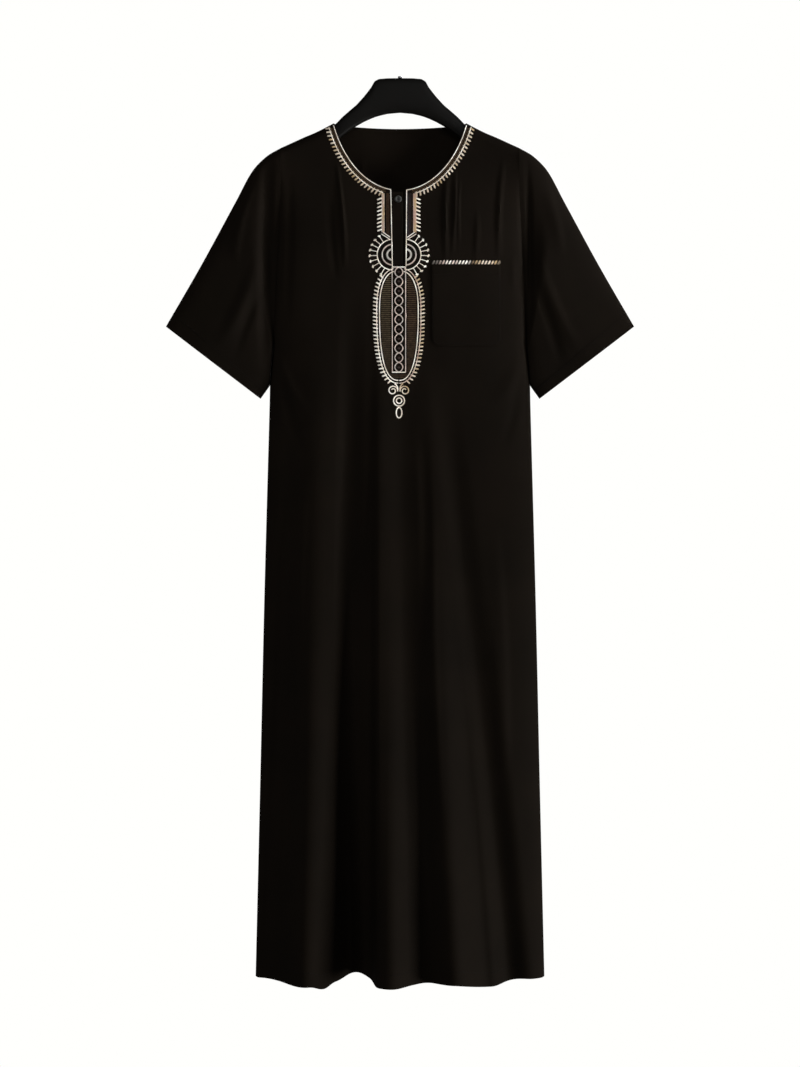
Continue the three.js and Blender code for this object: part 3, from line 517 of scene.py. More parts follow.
def stitch_tree():
    """Lays an arched length of thread on each point, turned and sized by the point's own attributes."""
    tree = bpy.data.node_groups.new("laid_stitches", "GeometryNodeTree")
    tree.interface.new_socket("Geometry", in_out="INPUT", socket_type="NodeSocketGeometry")
    for name, kind, value in (
        ("Arch", "NodeSocketFloat", 1.0),
        ("Steps", "NodeSocketInt", 3),
        ("Sides", "NodeSocketInt", 5),
        ("Unevenness", "NodeSocketFloat", 0.08),
        ("Seed", "NodeSocketInt", 4),
        ("Thread", "NodeSocketMaterial", None),
    ):
        socket = tree.interface.new_socket(name, in_out="INPUT", socket_type=kind)
        if value is not None:
            socket.default_value = value
    tree.interface.new_socket("Geometry", in_out="OUTPUT", socket_type="NodeSocketGeometry")
    given = tree.nodes.new("NodeGroupInput").outputs
    peak = add(tree, "ShaderNodeCombineXYZ", {"Z": given["Arch"]}).outputs[0]
    bow = {"Resolution": given["Steps"], "Start": (-0.5, 0, 0), "Middle": peak, "End": (0.5, 0, 0)}
    arch = add(tree, "GeometryNodeCurveQuadraticBezier", bow)
    section = {"Resolution": given["Sides"], "Radius": 0.5}
    round_thread = add(tree, "GeometryNodeCurvePrimitiveCircle", section)
    curves = {"Curve": arch.outputs[0], "Profile Curve": round_thread.outputs[0], "Fill Caps": True}
    bar = add(tree, "GeometryNodeCurveToMesh", curves)
    smooth = add(tree, "GeometryNodeSetShadeSmooth", {"Geometry": bar.outputs[0]})
    turn, size = (
        add(tree, "GeometryNodeInputNamedAttribute", {"Name": name}, data_type="FLOAT_VECTOR").outputs[0]
        for name in ("turn", "size")
    )
    rotation = add(tree, "FunctionNodeEulerToRotation", {0: turn}).outputs[0]
    least = add(tree, "ShaderNodeMath", {0: 1.0, 1: given["Unevenness"]}, operation="SUBTRACT").outputs[0]
    most = add(tree, "ShaderNodeMath", {0: 1.0, 1: given["Unevenness"]}, operation="ADD").outputs[0]
    limits = {"Min": least, "Max": most, "Seed": given["Seed"]}
    uneven = add(tree, "FunctionNodeRandomValue", limits, data_type="FLOAT_VECTOR").outputs[0]
    scale = add(tree, "ShaderNodeVectorMath", {0: size, 1: uneven}, operation="MULTIPLY").outputs[0]
    laid = {"Points": given["Geometry"], "Instance": smooth.outputs[0]}
    laid |= {"Rotation": rotation, "Scale": scale}
    threads = add(tree, "GeometryNodeInstanceOnPoints", laid)
    real = add(tree, "GeometryNodeRealizeInstances", {"Geometry": threads.outputs[0]})
    coloured = {"Geometry": real.outputs[0], "Material": given["Thread"]}
    final = add(tree, "GeometryNodeSetMaterial", coloured)
    tree.links.new(final.outputs[0], tree.nodes.new("NodeGroupOutput").inputs[0])
    return tree


laid_stitches = stitch_tree()


def stitches_on(surface, rows, outward):
    """Points, turns, sizes and colours of stitches on a surface. Each row is u, v, heading, length, width,
    height, how far off the cloth, and a linear colour. outward is 1 or -1, whichever turns the surface's own
    normal outwards."""
    u, v, heading, long, wide, high, off = rows[:, :7].T
    step = 0.4  # between the places that give the surface's slope
    here = surface(u, v)
    by_u = surface(u + step, v) - surface(u - step, v)
    by_v = surface(u, v + step) - surface(u, v - step)
    normal = outward * np.cross(by_u, by_v)
    normal /= np.linalg.norm(normal, axis=1, keepdims=True)
    ahead = by_u * np.cos(heading)[:, None] + by_v * np.sin(heading)[:, None]
    ahead -= normal * np.sum(ahead * normal, 1, keepdims=True)
    ahead /= np.linalg.norm(ahead, axis=1, keepdims=True)
    aside = np.cross(normal, ahead)
    turn_x = np.arctan2(aside[:, 2], normal[:, 2])
    turn_y = np.arctan2(-ahead[:, 2], np.hypot(ahead[:, 0], ahead[:, 1]))
    turn_z = np.arctan2(ahead[:, 1], ahead[:, 0])
    turns, sizes = np.stack([turn_x, turn_y, turn_z], -1), np.stack([long, wide, high], -1)
    return here + normal * off[:, None], turns, sizes, rows[:, 7:10]


def sew(name, thread, groups, steps=3, sides=5, arch=1.0, seed=4):
    """One piece of all the stitches in some groups, each as stitches_on gives it."""
    points, turns, sizes, tints = (np.concatenate(part) for part in zip(*groups))
    mesh = bpy.data.meshes.new(name)
    mesh.from_pydata((points * MM).tolist(), [], [])
    for label, values in (("turn", turns), ("size", sizes * MM)):
        mesh.attributes.new(label, "FLOAT_VECTOR", "POINT").data.foreach_set("vector", values.ravel())
    tints = np.concatenate([tints, np.ones((len(tints), 1))], 1)
    mesh.attributes.new("tint", "FLOAT_COLOR", "POINT").data.foreach_set("color", tints.ravel())
    piece = bpy.data.objects.new(name, mesh)
    bpy.context.scene.collection.objects.link(piece)
    modifier = piece.modifiers.new("stitches", "NODES")
    modifier.node_group = laid_stitches
    wanted = {"Arch": arch, "Steps": steps, "Sides": sides, "Seed": seed, "Thread": thread}
    for item in laid_stitches.interface.items_tree:
        if item.in_out == "INPUT" and item.name in wanted:
            modifier[item.identifier] = wanted[item.name]
    bpy.context.view_layer.update()
    graph = bpy.context.evaluated_depsgraph_get()
    seen = piece.evaluated_get(graph)
    made = bpy.data.meshes.new_from_object(seen, preserve_all_data_layers=True, depsgraph=graph)
    piece.modifiers.clear()
    piece.data = made
    for label in ("turn", "size"):
        if label in made.attributes:
            made.attributes.remove(made.attributes[label])
    bpy.data.meshes.remove(mesh)
    return piece


def thread_material(name, roughness, sheen, lustre):
    """Filament thread: smooth round yarn, brighter along its top and soft at its edges. Each stitch has its
    own colour, and the dye varies a little over about 4 mm of the work. The filaments are drawn as grains of
    about 0.6 mm, coarser than they are, so that they show."""
    shine = {"Roughness": roughness, "Specular_IOR_Level": lustre}
    made, tree, shader = material(name, Sheen_Weight=sheen, Sheen_Roughness=0.35, **shine)
    tint = add(tree, "ShaderNodeAttribute", attribute_name="tint").outputs["Color"]
    here = add(tree, "ShaderNodeTexCoord").outputs["Object"]
    dye = add(tree, "ShaderNodeTexNoise", {"Vector": here, "Scale": 260.0, "Detail": 2.0}).outputs["Fac"]
    tones = {"Value": dye, "From Min": 0.3, "From Max": 0.7, "To Min": 0.82, "To Max": 1.06}
    level = add(tree, "ShaderNodeMapRange", tones)
    shaded = add(tree, "ShaderNodeVectorMath", {0: tint, 1: level.outputs[0]}, operation="MULTIPLY")
    tree.links.new(shaded.outputs[0], shader.inputs["Base Color"])
    fibre = add(tree, "ShaderNodeTexNoise", {"Vector": here, "Scale": 1800.0, "Detail": 2.0}).outputs["Fac"]
    bump = add(tree, "ShaderNodeBump", {"Height": fibre, "Strength": 0.25, "Distance": 0.0001})
    tree.links.new(bump.outputs["Normal"], shader.inputs["Normal"])
    return made


sewing_thread = thread_material("black_polyester_thread", roughness=0.7, sheen=0.0, lustre=0.08)
BLACK_THREAD = linear("#0D0A08")[:3]


def places_along(path, pitch):
    """x, z and heading at an even spacing along a path of [x, z] places."""
    path = np.array(path, float)
    run = np.concatenate([[0], np.cumsum(np.hypot(*np.diff(path, axis=0).T))])
    count = max(2, round(run[-1] / pitch))
    at = (np.arange(count) + 0.5) / count * run[-1]
    behind, here, ahead = (
        [np.interp(at + aside, run, path[:, k]) for k in (0, 1)] for aside in (-pitch / 2, 0, pitch / 2)
    )
    return *here, np.arctan2(ahead[1] - behind[1], ahead[0] - behind[0])


def straight_stitch(path, size=SEAM_STITCH, pitch=SEAM_PITCH, colour=BLACK_THREAD, off=0.0):
    """A row of plain stitches end to end, with a little cloth between them."""
    x, z, heading = places_along(path, pitch)
    rest = np.tile([*size, off, *colour], (len(x), 1))
    return np.column_stack([x, z, heading, rest])


def hem_path(folds, above):
    """A line round a panel at a height above its hem."""
    x = np.linspace(-0.985, 0.985, 240) * WIDTH[-1][1]
    return np.column_stack([x, HEM + hem_lift(x, folds) + above])


def sleeve_at(hand):
    """A sleeve's outer face at places on its flat cloth."""
    return lambda u, v: sleeve(hand, np.mod(u / SLEEVE_ROUND, 2 * np.pi), np.clip(v / SLEEVE_LONG, 0, 1))


groups = [
    stitches_on(front, straight_stitch(hem_path(FRONT_FOLDS, HEM_TURN - SEWN_BELOW[0])), 1),
    stitches_on(back, straight_stitch(hem_path(BACK_FOLDS, HEM_TURN - SEWN_BELOW[0])), -1),
]
cuff_line = SLEEVE_LONG - CUFF_TURN + SEWN_BELOW[1]
cuff = [[u, cuff_line] for u in np.linspace(4, 2 * np.pi * SLEEVE_ROUND - 4, 200)]
for hand in (1, -1):
    groups.append(stitches_on(sleeve_at(hand), straight_stitch(cuff, **CUFF_STITCH), hand))
hem_stitches = sew("hem_and_cuff_stitches", sewing_thread, groups)
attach(hem_stitches, "root")

# The placket
# Two narrow bands of the same cloth close the slit. The under-band reaches behind both edges. The over-band,
# folded double, lies over it and carries the buttonhole side, and is topstitched close to its edge.
UNDER_BAND = (-19.1, 15.3, -190, -311)  # left, right, top and bottom
OVER_BAND = (-13.5, 4.6, -188, -305.5)
BAND_THICK = 0.8


def band(name, box, sunk, soft_edge):
    """A band on the front, sunk so far behind its face, with edges that are pressed down by soft_edge."""
    left, right, top, bottom = box
    x = np.linspace(left, right, 30)[None, :]
    z = np.linspace(top, bottom, 70)[:, None]
    x, z = np.broadcast_arrays(x, z)
    from_edge = np.minimum(np.minimum(x - left, right - x), np.minimum(top - z, z - bottom))
    wave = 0.12 * np.sin(z / 9) * ease(from_edge / 4)
    grid = front(x, z)
    grid[..., 1] += sunk + soft_edge * (1 - ease(from_edge / 1.4)) - wave
    return cloth_mesh(name, grid, np.stack([x, z], -1), 1, thick=BAND_THICK)


under_band = place("placket_under_band", band("under_band", UNDER_BAND, sunk=1.9, soft_edge=0.0), black_cloth)
over_band = place("placket_over_band", band("over_band", OVER_BAND, sunk=0.15, soft_edge=0.35), black_cloth)
for piece, node, size in (
    (under_band, "placket_under", (0.034, 0.121)),
    (over_band, "placket_over", (0.018, 0.1175)),
):
    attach(piece, "root")
    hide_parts(node)

left, right, top, bottom = OVER_BAND
edge = [[right - 1.8, top - 1], [right - 1.8, bottom + 2], [left + 1.5, bottom + 2]]
placket_rows = straight_stitch(edge, size=(2.2, 0.4, 0.4), pitch=2.7, off=-0.25)
placket_stitches = sew("placket_stitches", sewing_thread, [stitches_on(front, placket_rows, 1)])
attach(placket_stitches, "root")

# The chest pocket
# A patch of the same cloth with a hemmed mouth and rounded lower corners, topstitched to the front.
# Its mouth stands a little open, and its edges are pressed flat.
POCKET = (105, 55, -304, 130, 14)  # middle, half width, top, height and corner radius
POCKET_MIDDLE, POCKET_HALF, POCKET_TALL = POCKET[0], POCKET[1], POCKET[3]
POCKET_EDGE = 2.2  # from its edge to its topstitching
MOUTH_STITCH = (53, -320.5)  # half length and height of the row below the mouth
POCKET_STITCH = {"size": (2.3, 0.4, 0.35), "colour": linear("#090706")[:3]}


def pocket_places(u, v):
    """Flat x and z of the pocket at u from -1 to 1 across it and v from 0 to 1 down it."""
    middle, half_wide, top, tall, corner = POCKET
    z = top - tall * v
    drop = np.clip((top - tall + corner - z) / corner, 0, 1)
    narrow = corner * (1 - np.sqrt(1 - drop**2))
    return middle + u * (half_wide - narrow), z


round_corners = 1 - 0.1 * (1 - np.linspace(0.1, 1, 16)) ** 2
u, v = np.meshgrid(np.linspace(-1, 1, 72), np.concatenate([np.linspace(0, 0.9, 60), round_corners]))
x, z = pocket_places(u, v)
from_side = (1 - np.abs(u)) * POCKET_HALF
from_bottom = (1 - v) * POCKET_TALL
pressed = ease(np.minimum(from_side, from_bottom + 0.3) / POCKET_EDGE)
gape = 0.9 * (1 - u**2) * np.exp(-v * 7)
pull = 0.35 * np.sin(u * 5 + v * 3) * np.sin(v * 6) * (1 - u**4)
mouth_hem = 0.35 * ease((0.13 - v) / 0.02)
grid = front(x, z)
grid[..., 1] -= 1.0 + 0.55 * pressed + gape + pull * 0.6 * pressed + mouth_hem
mesh = cloth_mesh("pocket", grid, np.stack([x, z], -1), 1, thick=0.9)
pocket = place("chest_pocket_patch", mesh, black_cloth)
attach(pocket, "root")
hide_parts("chest_pocket")

around = [(-1, v) for v in np.linspace(0.02, 0.9, 20)] + [(-1, v) for v in np.linspace(0.905, 0.985, 14)]
path = [pocket_places(u, v) for u, v in around]
path = [(x + POCKET_EDGE, z + 2.0 * ease((-z - 415) / 15)) for x, z in path]
path += [(2 * POCKET_MIDDLE - x, z) for x, z in path[::-1]]
mouth = [(POCKET_MIDDLE + way * MOUTH_STITCH[0], MOUTH_STITCH[1]) for way in (-1, 1)]
rows = [straight_stitch(path, off=1.5, **POCKET_STITCH), straight_stitch(mouth, off=1.6, **POCKET_STITCH)]
pocket_stitches = sew("pocket_stitches", sewing_thread, [stitches_on(front, np.concatenate(rows), 1)])
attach(pocket_stitches, "root")

# The button
# One cast resin shirt button at the top of the placket, black and polished, with a raised rim and four holes.
# It is sewn through both bands with black thread in two bars.
BUTTON = (-2.8, -199.6, 2.2)  # x, z and thickness
HOLES = (1.15, 0.62)  # from the middle each way, and radius
STRANDS_EACH, STRAND_WIDE = (-0.3, 0, 0.3), 0.34  # of the thread through each pair of holes
button_x, button_z, button_thick = BUTTON
hole_at, hole_r = HOLES
seat = front(np.array([button_x]), np.array([button_z]))[0, 1] - 0.1  # y of its back, just off the cloth
# Radius, and height as a share of the thickness, from the middle of its face round the rim to its back
profile = [(0, 0.62), (2.6, 0.62), (3.3, 0.8), (3.9, 1.0), (4.6, 1.0), (5.2, 0.86), (5.55, 0.6), (5.6, 0.42)]
profile += [(5.5, 0.2), (5.0, 0.05), (0, 0.0)]
turns = 56
points, faces = [], []
for r, height in profile:
    for k in range(1 if r == 0 else turns):
        a = 2 * math.pi * k / turns
        points.append((button_x + r * math.cos(a), seat - button_thick * height, button_z + r * math.sin(a)))
last = len(profile) - 2
for k in range(turns):
    after = (k + 1) % turns
    faces.append((0, 1 + k, 1 + after))
    for ring in range(last - 1):
        a = 1 + ring * turns
        faces.append((a + k, a + turns + k, a + turns + after, a + after))
    a = 1 + (last - 1) * turns
    faces.append((a + k, len(points) - 1, a + after))
mesh = bpy.data.meshes.new("button")
mesh.from_pydata([[c * MM for c in p] for p in points], [], faces)
mesh.update()

# Cast polyester resin: near black with faint smoky clouds about 2 mm across, polished by tumbling.
polish = {"Roughness": 0.34, "Specular_IOR_Level": 0.4, "Coat_Weight": 0.15, "Coat_Roughness": 0.15}
resin, tree, shader = material("black_cast_resin", **polish)
here = add(tree, "ShaderNodeTexCoord").outputs["Object"]
cloud = add(tree, "ShaderNodeTexNoise", {"Vector": here, "Scale": 420.0, "Detail": 3.0, "Distortion": 1.2})
ramp = add(tree, "ShaderNodeValToRGB", {"Fac": cloud.outputs["Fac"]})
ramp.color_ramp.elements[0].color = linear("#121211")
ramp.color_ramp.elements[1].color = linear("#2C2C2A")
tree.links.new(ramp.outputs["Color"], shader.inputs["Base Color"])
button = place("placket_button", mesh, resin)
drills = []
for dx in (-hole_at, hole_at):
    for dz in (-hole_at, hole_at):
        bpy.ops.mesh.primitive_cylinder_add(
            vertices=16,
            radius=hole_r * MM,
            depth=12 * MM,
            location=((button_x + dx) * MM, seat * MM, (button_z + dz) * MM),
            rotation=(math.pi / 2, 0, 0),
        )
        drills.append(bpy.context.active_object)
for drill in drills:
    cut = button.modifiers.new("hole", "BOOLEAN")
    cut.operation, cut.object, cut.solver = "DIFFERENCE", drill, "EXACT"
seen = button.evaluated_get(bpy.context.evaluated_depsgraph_get())
drilled = bpy.data.meshes.new_from_object(seen)
button.modifiers.clear()
button.data = drilled
for drill in drills:
    bpy.data.objects.remove(drill)
drilled.polygons.foreach_set("use_smooth", [True] * len(drilled.polygons))
drilled.set_sharp_from_angle(angle=math.radians(35))
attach(button, "root")
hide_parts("button")

rows = []
for dz in (-hole_at, hole_at):
    for strand in STRANDS_EACH:
        spread = [button_x, button_z + dz + strand, 0.06 * strand, 3.0, STRAND_WIDE, 0.5]
        rows.append([*spread, 0.1 + button_thick * 0.55, *BLACK_THREAD])
button_thread = sew("button_thread", sewing_thread, [stitches_on(front, np.array(rows), 1)], steps=4)
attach(button_thread, "root")

# The embroidery of the neck
# Machine satin stitch in cream and old gold rayon on the front itself. A double border follows the neckline
# and runs down both sides of the placket, with teeth along its outer edge. Fine lines in a dull spun thread
# lie between its cords.
rayon = thread_material("rayon_embroidery_thread", roughness=0.42, sheen=0.08, lustre=0.35)
dull_thread = thread_material("dull_bronze_thread", roughness=0.75, sheen=0.0, lustre=0.1)
THREADS = {
    "ivory": "#FFFBF2",
    "cream": "#DDD1C0",
    "blush": "#CDB9AE",
    "rose": "#B49486",
    "gold": "#B59C74",
    "bronze": "#5E4A36",
    "umber": "#33271D",
    "moss": "#544A38",
    "rust": "#3A2717",
    "slate": "#26242A",
    "wine": "#2B1A17",
    "silver": "#B3ADA6",
    "smoke": "#6A635C",
}
COLOURS = {name: np.array(linear(code)[:3]) for name, code in THREADS.items()}
SATIN_PITCH = 0.72  # between threads, about twice the real spacing, so that they show
rng = np.random.default_rng(11)


def between(first, second, share):
    """Thread colours part of the way from one to another, for each share."""
    share = np.clip(np.asarray(share, float), 0, 1)[:, None]
    return COLOURS[first] * (1 - share) + COLOURS[second] * share


def satin(path, wide, first, second=None, pitch=SATIN_PITCH, high=0.9, slant=0.3, off=0.0):
    """Stitches side by side across a path. wide is one width, or one at each even share of the path."""
    x, z, heading = places_along(path, pitch)
    n = len(x)
    width = np.interp(np.linspace(0, 1, n), np.linspace(0, 1, np.size(wide)), np.atleast_1d(wide))
    drift = 0.5 + 0.5 * np.sin(np.arange(n) / 9.0 + rng.uniform(0, 6)) + rng.normal(0, 0.12, n)
    colour = between(first, second or first, drift)
    rest = [width, np.full(n, pitch * 1.35), np.full(n, high), np.full(n, off)]
    return np.column_stack([x, z, heading + np.pi / 2 - slant, *rest, colour])


def teeth(path, pitch, long, wide, first, second, lean=0.0, hand=1, strands=4):
    """Short satin bars standing off one side of a path, each of a few strands. hand picks the side."""
    x, z, heading = places_along(path, pitch)
    rows = []
    for px, pz, angle in zip(x, z, heading):
        out = angle + hand * (np.pi / 2 + lean)
        share = rng.uniform(0, 1)
        for k in range(strands):
            t = (k - (strands - 1) / 2) / strands
            length = long * (1 - 0.7 * t * t) * rng.uniform(0.94, 1.04)
            cx = px + math.cos(out) * length / 2 - math.sin(out) * wide * t
            cz = pz + math.sin(out) * length / 2 + math.cos(out) * wide * t
            colour = between(first, second, [share + rng.normal(0, 0.08)])[0]
            rows.append([cx, cz, out, length, wide / strands * 1.5, 0.95, 0.0, *colour])
    return np.array(rows)


def dashes(path, long, pitch, wide, colour, high=0.45):
    """A row of flat running stitches along a path."""
    x, z, heading = places_along(path, pitch)
    tint = COLOURS[colour] * rng.uniform(0.7, 1.25, (len(x), 1))
    return np.column_stack([x, z, heading, np.tile([long, wide, high, 0.0], (len(x), 1)), tint])


def neck_arc(off, start, end_x, hand):
    """A line at a distance outside the neckline, from near the shoulder to where it reaches end_x."""
    wide, deep, middle = NECK
    a = np.linspace(start, np.pi / 2, 90)
    x, z = wide * np.cos(a), middle - deep * np.sin(a)
    nx, nz = np.cos(a) / wide, -np.sin(a) / deep
    long = np.hypot(nx, nz)
    x, z = x + off * nx / long, z + off * nz / long
    keep = x > end_x
    x, z = np.append(x[keep], end_x), np.append(z[keep], np.interp(end_x, x[::-1], z[::-1]))
    return np.column_stack([hand * x, z])


NECK_CORDS, NECK_LINES = (2.0, 9.8), (4.6, 7.2)  # how far outside the neckline they run
NECK_TOOTH, LEG_TOOTH = (6.2, 5.4, 2.3), (6.3, 5.4, 2.2)  # pitch, length and width
ARC_DASH, LEG_DASH = (1.3, 1.9, 0.8), (2.4, 2.7, 1.0)  # length, pitch and width
ARC_START, LINES_START = 0.40, 0.42  # angles at which cords and lines round the neck start, near the shoulder
BORDER_FOOT, BORDER_CORNER = -252.5, -193.0
# For each side: x of the inner cord at its top and foot, x, width and colours of the broad outer edge, the
# colours of the cords and of the lines between them, how far outside the edge the teeth stand, and how far
# inside it the lines end. Then the cords laid on the edge: how far aside, two colours, height, how far off.
BORDER = {
    1: {
        "inner": (10.6, 9.6),
        "outer": 23.4,
        "edge_wide": 3.5,
        "edge": ("rose", "gold"),
        "cord": ("cream", "ivory"),
        "fill": ("slate", "umber"),
        "teeth_off": 2.8,
        "fill_ends": 4.4,
        "laid": [(-2.0, "rose", "blush", 1.0, 0.1)],
    },
    -1: {
        "inner": (-14.7, -12.2),
        "outer": -27.0,
        "edge_wide": 2.6,
        "edge": ("gold", "rose"),
        "cord": ("ivory", "cream"),
        "fill": ("rust", "umber"),
        "teeth_off": 3.0,
        "fill_ends": 4.6,
        "laid": [(-1.6, "ivory", "cream", 0.9, 0.0), (1.5, "cream", "gold", 1.0, 0.1)],
    },
}
for hand, side_name in ((1, "right"), (-1, "left")):
    side = BORDER[hand]
    (top_x, foot_x), outer = side["inner"], side["outer"]
    inner_arc = neck_arc(NECK_CORDS[0], ARC_START, abs(top_x), hand)
    outer_arc = neck_arc(NECK_CORDS[1], ARC_START, abs(outer), hand)
    inner_line = [*inner_arc, *np.linspace((top_x, inner_arc[-1, 1] - 1), (foot_x, -307), 40)]
    outer_leg = np.linspace((outer, outer_arc[-1, 1] - 1), (outer, BORDER_FOOT), 24)
    foot = [(outer, BORDER_FOOT), (top_x + hand * 1.0, BORDER_FOOT - 8.2)]
    lower_foot = [(outer + hand * 2.4, BORDER_FOOT - 2.8), (top_x + hand * 0.6, BORDER_FOOT - 12.0)]
    rows = [
        satin(inner_line, 0.85, *side["cord"]),
        satin(outer_arc, 0.9, *side["cord"]),
        satin(outer_leg, side["edge_wide"], *side["edge"]),
        satin(foot, 0.9, *side["cord"]),
        satin(lower_foot, 0.9, *side["cord"]),
        teeth(outer_arc, *NECK_TOOTH, "cream", "gold", lean=-0.25 * hand, hand=hand),
    ]
    for aside, first, second, high, off in side["laid"]:
        rows.append(satin(outer_leg + np.array([aside, 0]), 0.6, first, second, high=high, off=off))
    reach = abs(outer) + side["teeth_off"]
    ladder = np.linspace((hand * reach, BORDER_CORNER - 2.2), (hand * reach, BORDER_FOOT + 1), 30)
    rows.append(teeth(ladder, *LEG_TOOTH, "ivory", "cream", lean=-0.36, hand=hand))
    fill_arcs = [neck_arc(off, LINES_START, abs(outer) - 4, hand) for off in NECK_LINES]
    fill = [dashes(arc, *ARC_DASH, "bronze") for arc in fill_arcs]
    for k, lx in enumerate(np.arange(abs(top_x) + 2.6, abs(outer) - side["fill_ends"], 1.5)):
        line = [(hand * lx, -190.5), (hand * lx, BORDER_FOOT - 4.5)]
        fill.append(dashes(line, *LEG_DASH, side["fill"][k % 2]))
    border = sew(f"neck_embroidery_{side_name}", rayon, [stitches_on(front, np.concatenate(rows), 1)])
    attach(border, "root")
    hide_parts(f"neck_border_{side_name}")
    flat_lines = [stitches_on(front, np.concatenate(fill), 1)]
    between_cords = sew(f"neck_ground_{side_name}", dull_thread, flat_lines)
    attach(between_cords, "root")

# The two half suns
# Three satin-stitch half rings in the same rayon, on each side of the placket's foot. Nine pins stand round
# them and end in round heads.
SUN = {"z": -288.4, "rings": ((24.3, 1.0), (16.4, 1.3), (8.6, 1.9)), "head": 36.6, "dot": 3.1, "pins": 9}
PIN_ANGLES = (54.5, -60)  # degrees, of the first and the last pin
SUN_X = {1: 8.9, -1: -12.0}
for hand, side_name in ((1, "right"), (-1, "left")):
    centre = SUN_X[hand]
    light = BORDER[hand]["cord"]
    rows = []
    for (r, wide), tints in zip(SUN["rings"], (light, ("silver", "blush"), ("silver", "silver"))):
        a = np.radians(np.linspace(88, -88, 40))
        arc = np.column_stack([centre + hand * r * np.cos(a), SUN["z"] + r * np.sin(a)])
        rows.append(satin(arc, wide, *tints))
    for angle in np.radians(np.linspace(*PIN_ANGLES, SUN["pins"])):
        head, dot = SUN["head"], SUN["dot"]
        reach = np.linspace(SUN["rings"][0][0] + 0.6, head + dot / 2, 24)
        round_head = np.clip(1 - ((reach - head) / (dot / 2)) ** 2, 0, 1) ** 0.5 * dot
        wide = np.maximum(np.where(reach < head, 0.75, 0.5), round_head)
        pin = np.column_stack([centre + hand * reach * np.cos(angle), SUN["z"] + reach * np.sin(angle)])
        rows.append(satin(pin, wide, *light))
    sun = sew(f"half_sun_{side_name}", rayon, [stitches_on(front, np.concatenate(rows), 1)], seed=9)
    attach(sun, "root")
    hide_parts(f"sun_{side_name}")

# The long oval
# Two satin cords run round the column in an egg shape, with a row of teeth outside them. The ground inside is
# filled with short flat stitches in a dull thread, green-brown on the left and bronze on the right. The cloth
# hardly shows between them.
MIDDLE = -1.9  # x of the oval, the column and the pendant
# Height where it is widest, half width, how far it goes up and down, the power of its curve, the gap between
# its cords, and the height at which they start
OVAL = {"z": -378.2, "half": 35.1, "up": 68.2, "down": 114.6, "power": 2.5, "gap": 4.4, "start": -310.5}
OVAL_TEETH = (-322, 10, -470)  # where they start, and half width and height of the gap for the pendant
OVAL_TOOTH = (5.8, 5.0, 2.1)  # pitch, length and width
# The ground: its first and last row, their spacing, the column's lower end, how far it keeps off that
GROUND = {"top": -320, "bottom": -489, "pitch": 1.6, "column_ends": -477.5, "beside": 13.4}
GROUND_STITCH = (3.3, 1.25, 0.4)  # length, width and height


def egg(inside, steps=260):
    """The egg's outline, so far inside the outer cord, from the upper left round the foot."""
    a = np.linspace(np.radians(100), np.radians(440), steps)
    c, s = np.cos(a), np.sin(a)
    tall = np.where(s > 0, OVAL["up"], OVAL["down"]) - inside
    x = MIDDLE + (OVAL["half"] - inside) * np.sign(c) * np.abs(c) ** (2 / OVAL["power"])
    z = OVAL["z"] + tall * np.sign(s) * np.abs(s) ** (2 / OVAL["power"])
    keep = z < OVAL["start"] - 0.25 * inside
    return np.column_stack([x, z])[keep]


def half_egg(z, inside):
    """Half the egg's width at height z."""
    tall = np.where(z > OVAL["z"], OVAL["up"], OVAL["down"]) - inside
    share = np.clip(np.abs(z - OVAL["z"]) / tall, 0, 1)
    return (OVAL["half"] - inside) * (1 - share ** OVAL["power"]) ** (1 / OVAL["power"])


outer = egg(0)
inner = egg(OVAL["gap"])
teeth_from, gap_half, gap_top = OVAL_TEETH
beside_pendant = (np.abs(outer[:, 0] - MIDDLE) > gap_half) | (outer[:, 1] > gap_top)
low = outer[(outer[:, 1] < teeth_from) & beside_pendant]
crosses_at = int(np.argmax(low[:, 0] > MIDDLE))
rows = [
    satin(outer[outer[:, 0] <= MIDDLE], 0.95, "ivory", "cream"),
    satin(inner[inner[:, 0] <= MIDDLE], 1.0, "ivory", "cream"),
    satin(outer[outer[:, 0] > MIDDLE], 0.9, "cream", "rose"),
    satin(inner[inner[:, 0] > MIDDLE], 1.0, "cream", "ivory"),
    teeth(low[:crosses_at], *OVAL_TOOTH, "ivory", "cream", lean=0.2, hand=-1),
    teeth(low[crosses_at:], *OVAL_TOOTH, "cream", "gold", lean=-0.2, hand=-1),
]
oval = sew("long_oval", rayon, [stitches_on(front, np.concatenate(rows), 1)], seed=13)
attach(oval, "root")
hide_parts("oval_border")

rows = []
long, wide, high = GROUND_STITCH
for level, gz in enumerate(np.arange(GROUND["top"], GROUND["bottom"], -GROUND["pitch"])):
    reach = float(half_egg(gz, OVAL["gap"] + 2.6))
    inside = GROUND["beside"] if gz > GROUND["column_ends"] else 0.0
    low_down = (GROUND["top"] - gz) / (GROUND["top"] - GROUND["bottom"])
    for hand in (-1, 1):
        for fx in np.arange(inside + (level % 2) * long / 2, reach, long):
            length = min(long, reach - fx)
            if length < 0.8:
                continue
            if hand < 0:
                tint = between("moss", "umber", [0.7 * low_down + rng.uniform(-0.1, 0.3)])[0]
            else:
                tint = between("umber", "bronze", [rng.uniform(0, 0.45)])[0]
            shade = (0.35 if level % 2 else 1.3) * rng.uniform(0.75, 1.1)
            gx = MIDDLE + hand * (fx + length / 2)
            rows.append([gx, gz, 0.0, length * 0.96, wide, high, 0.0, *(tint * shade)])
flat_rows = [stitches_on(front, np.array(rows), 1)]
ground = sew("oval_ground", dull_thread, flat_rows, steps=2, sides=4, seed=17)
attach(ground, "root")

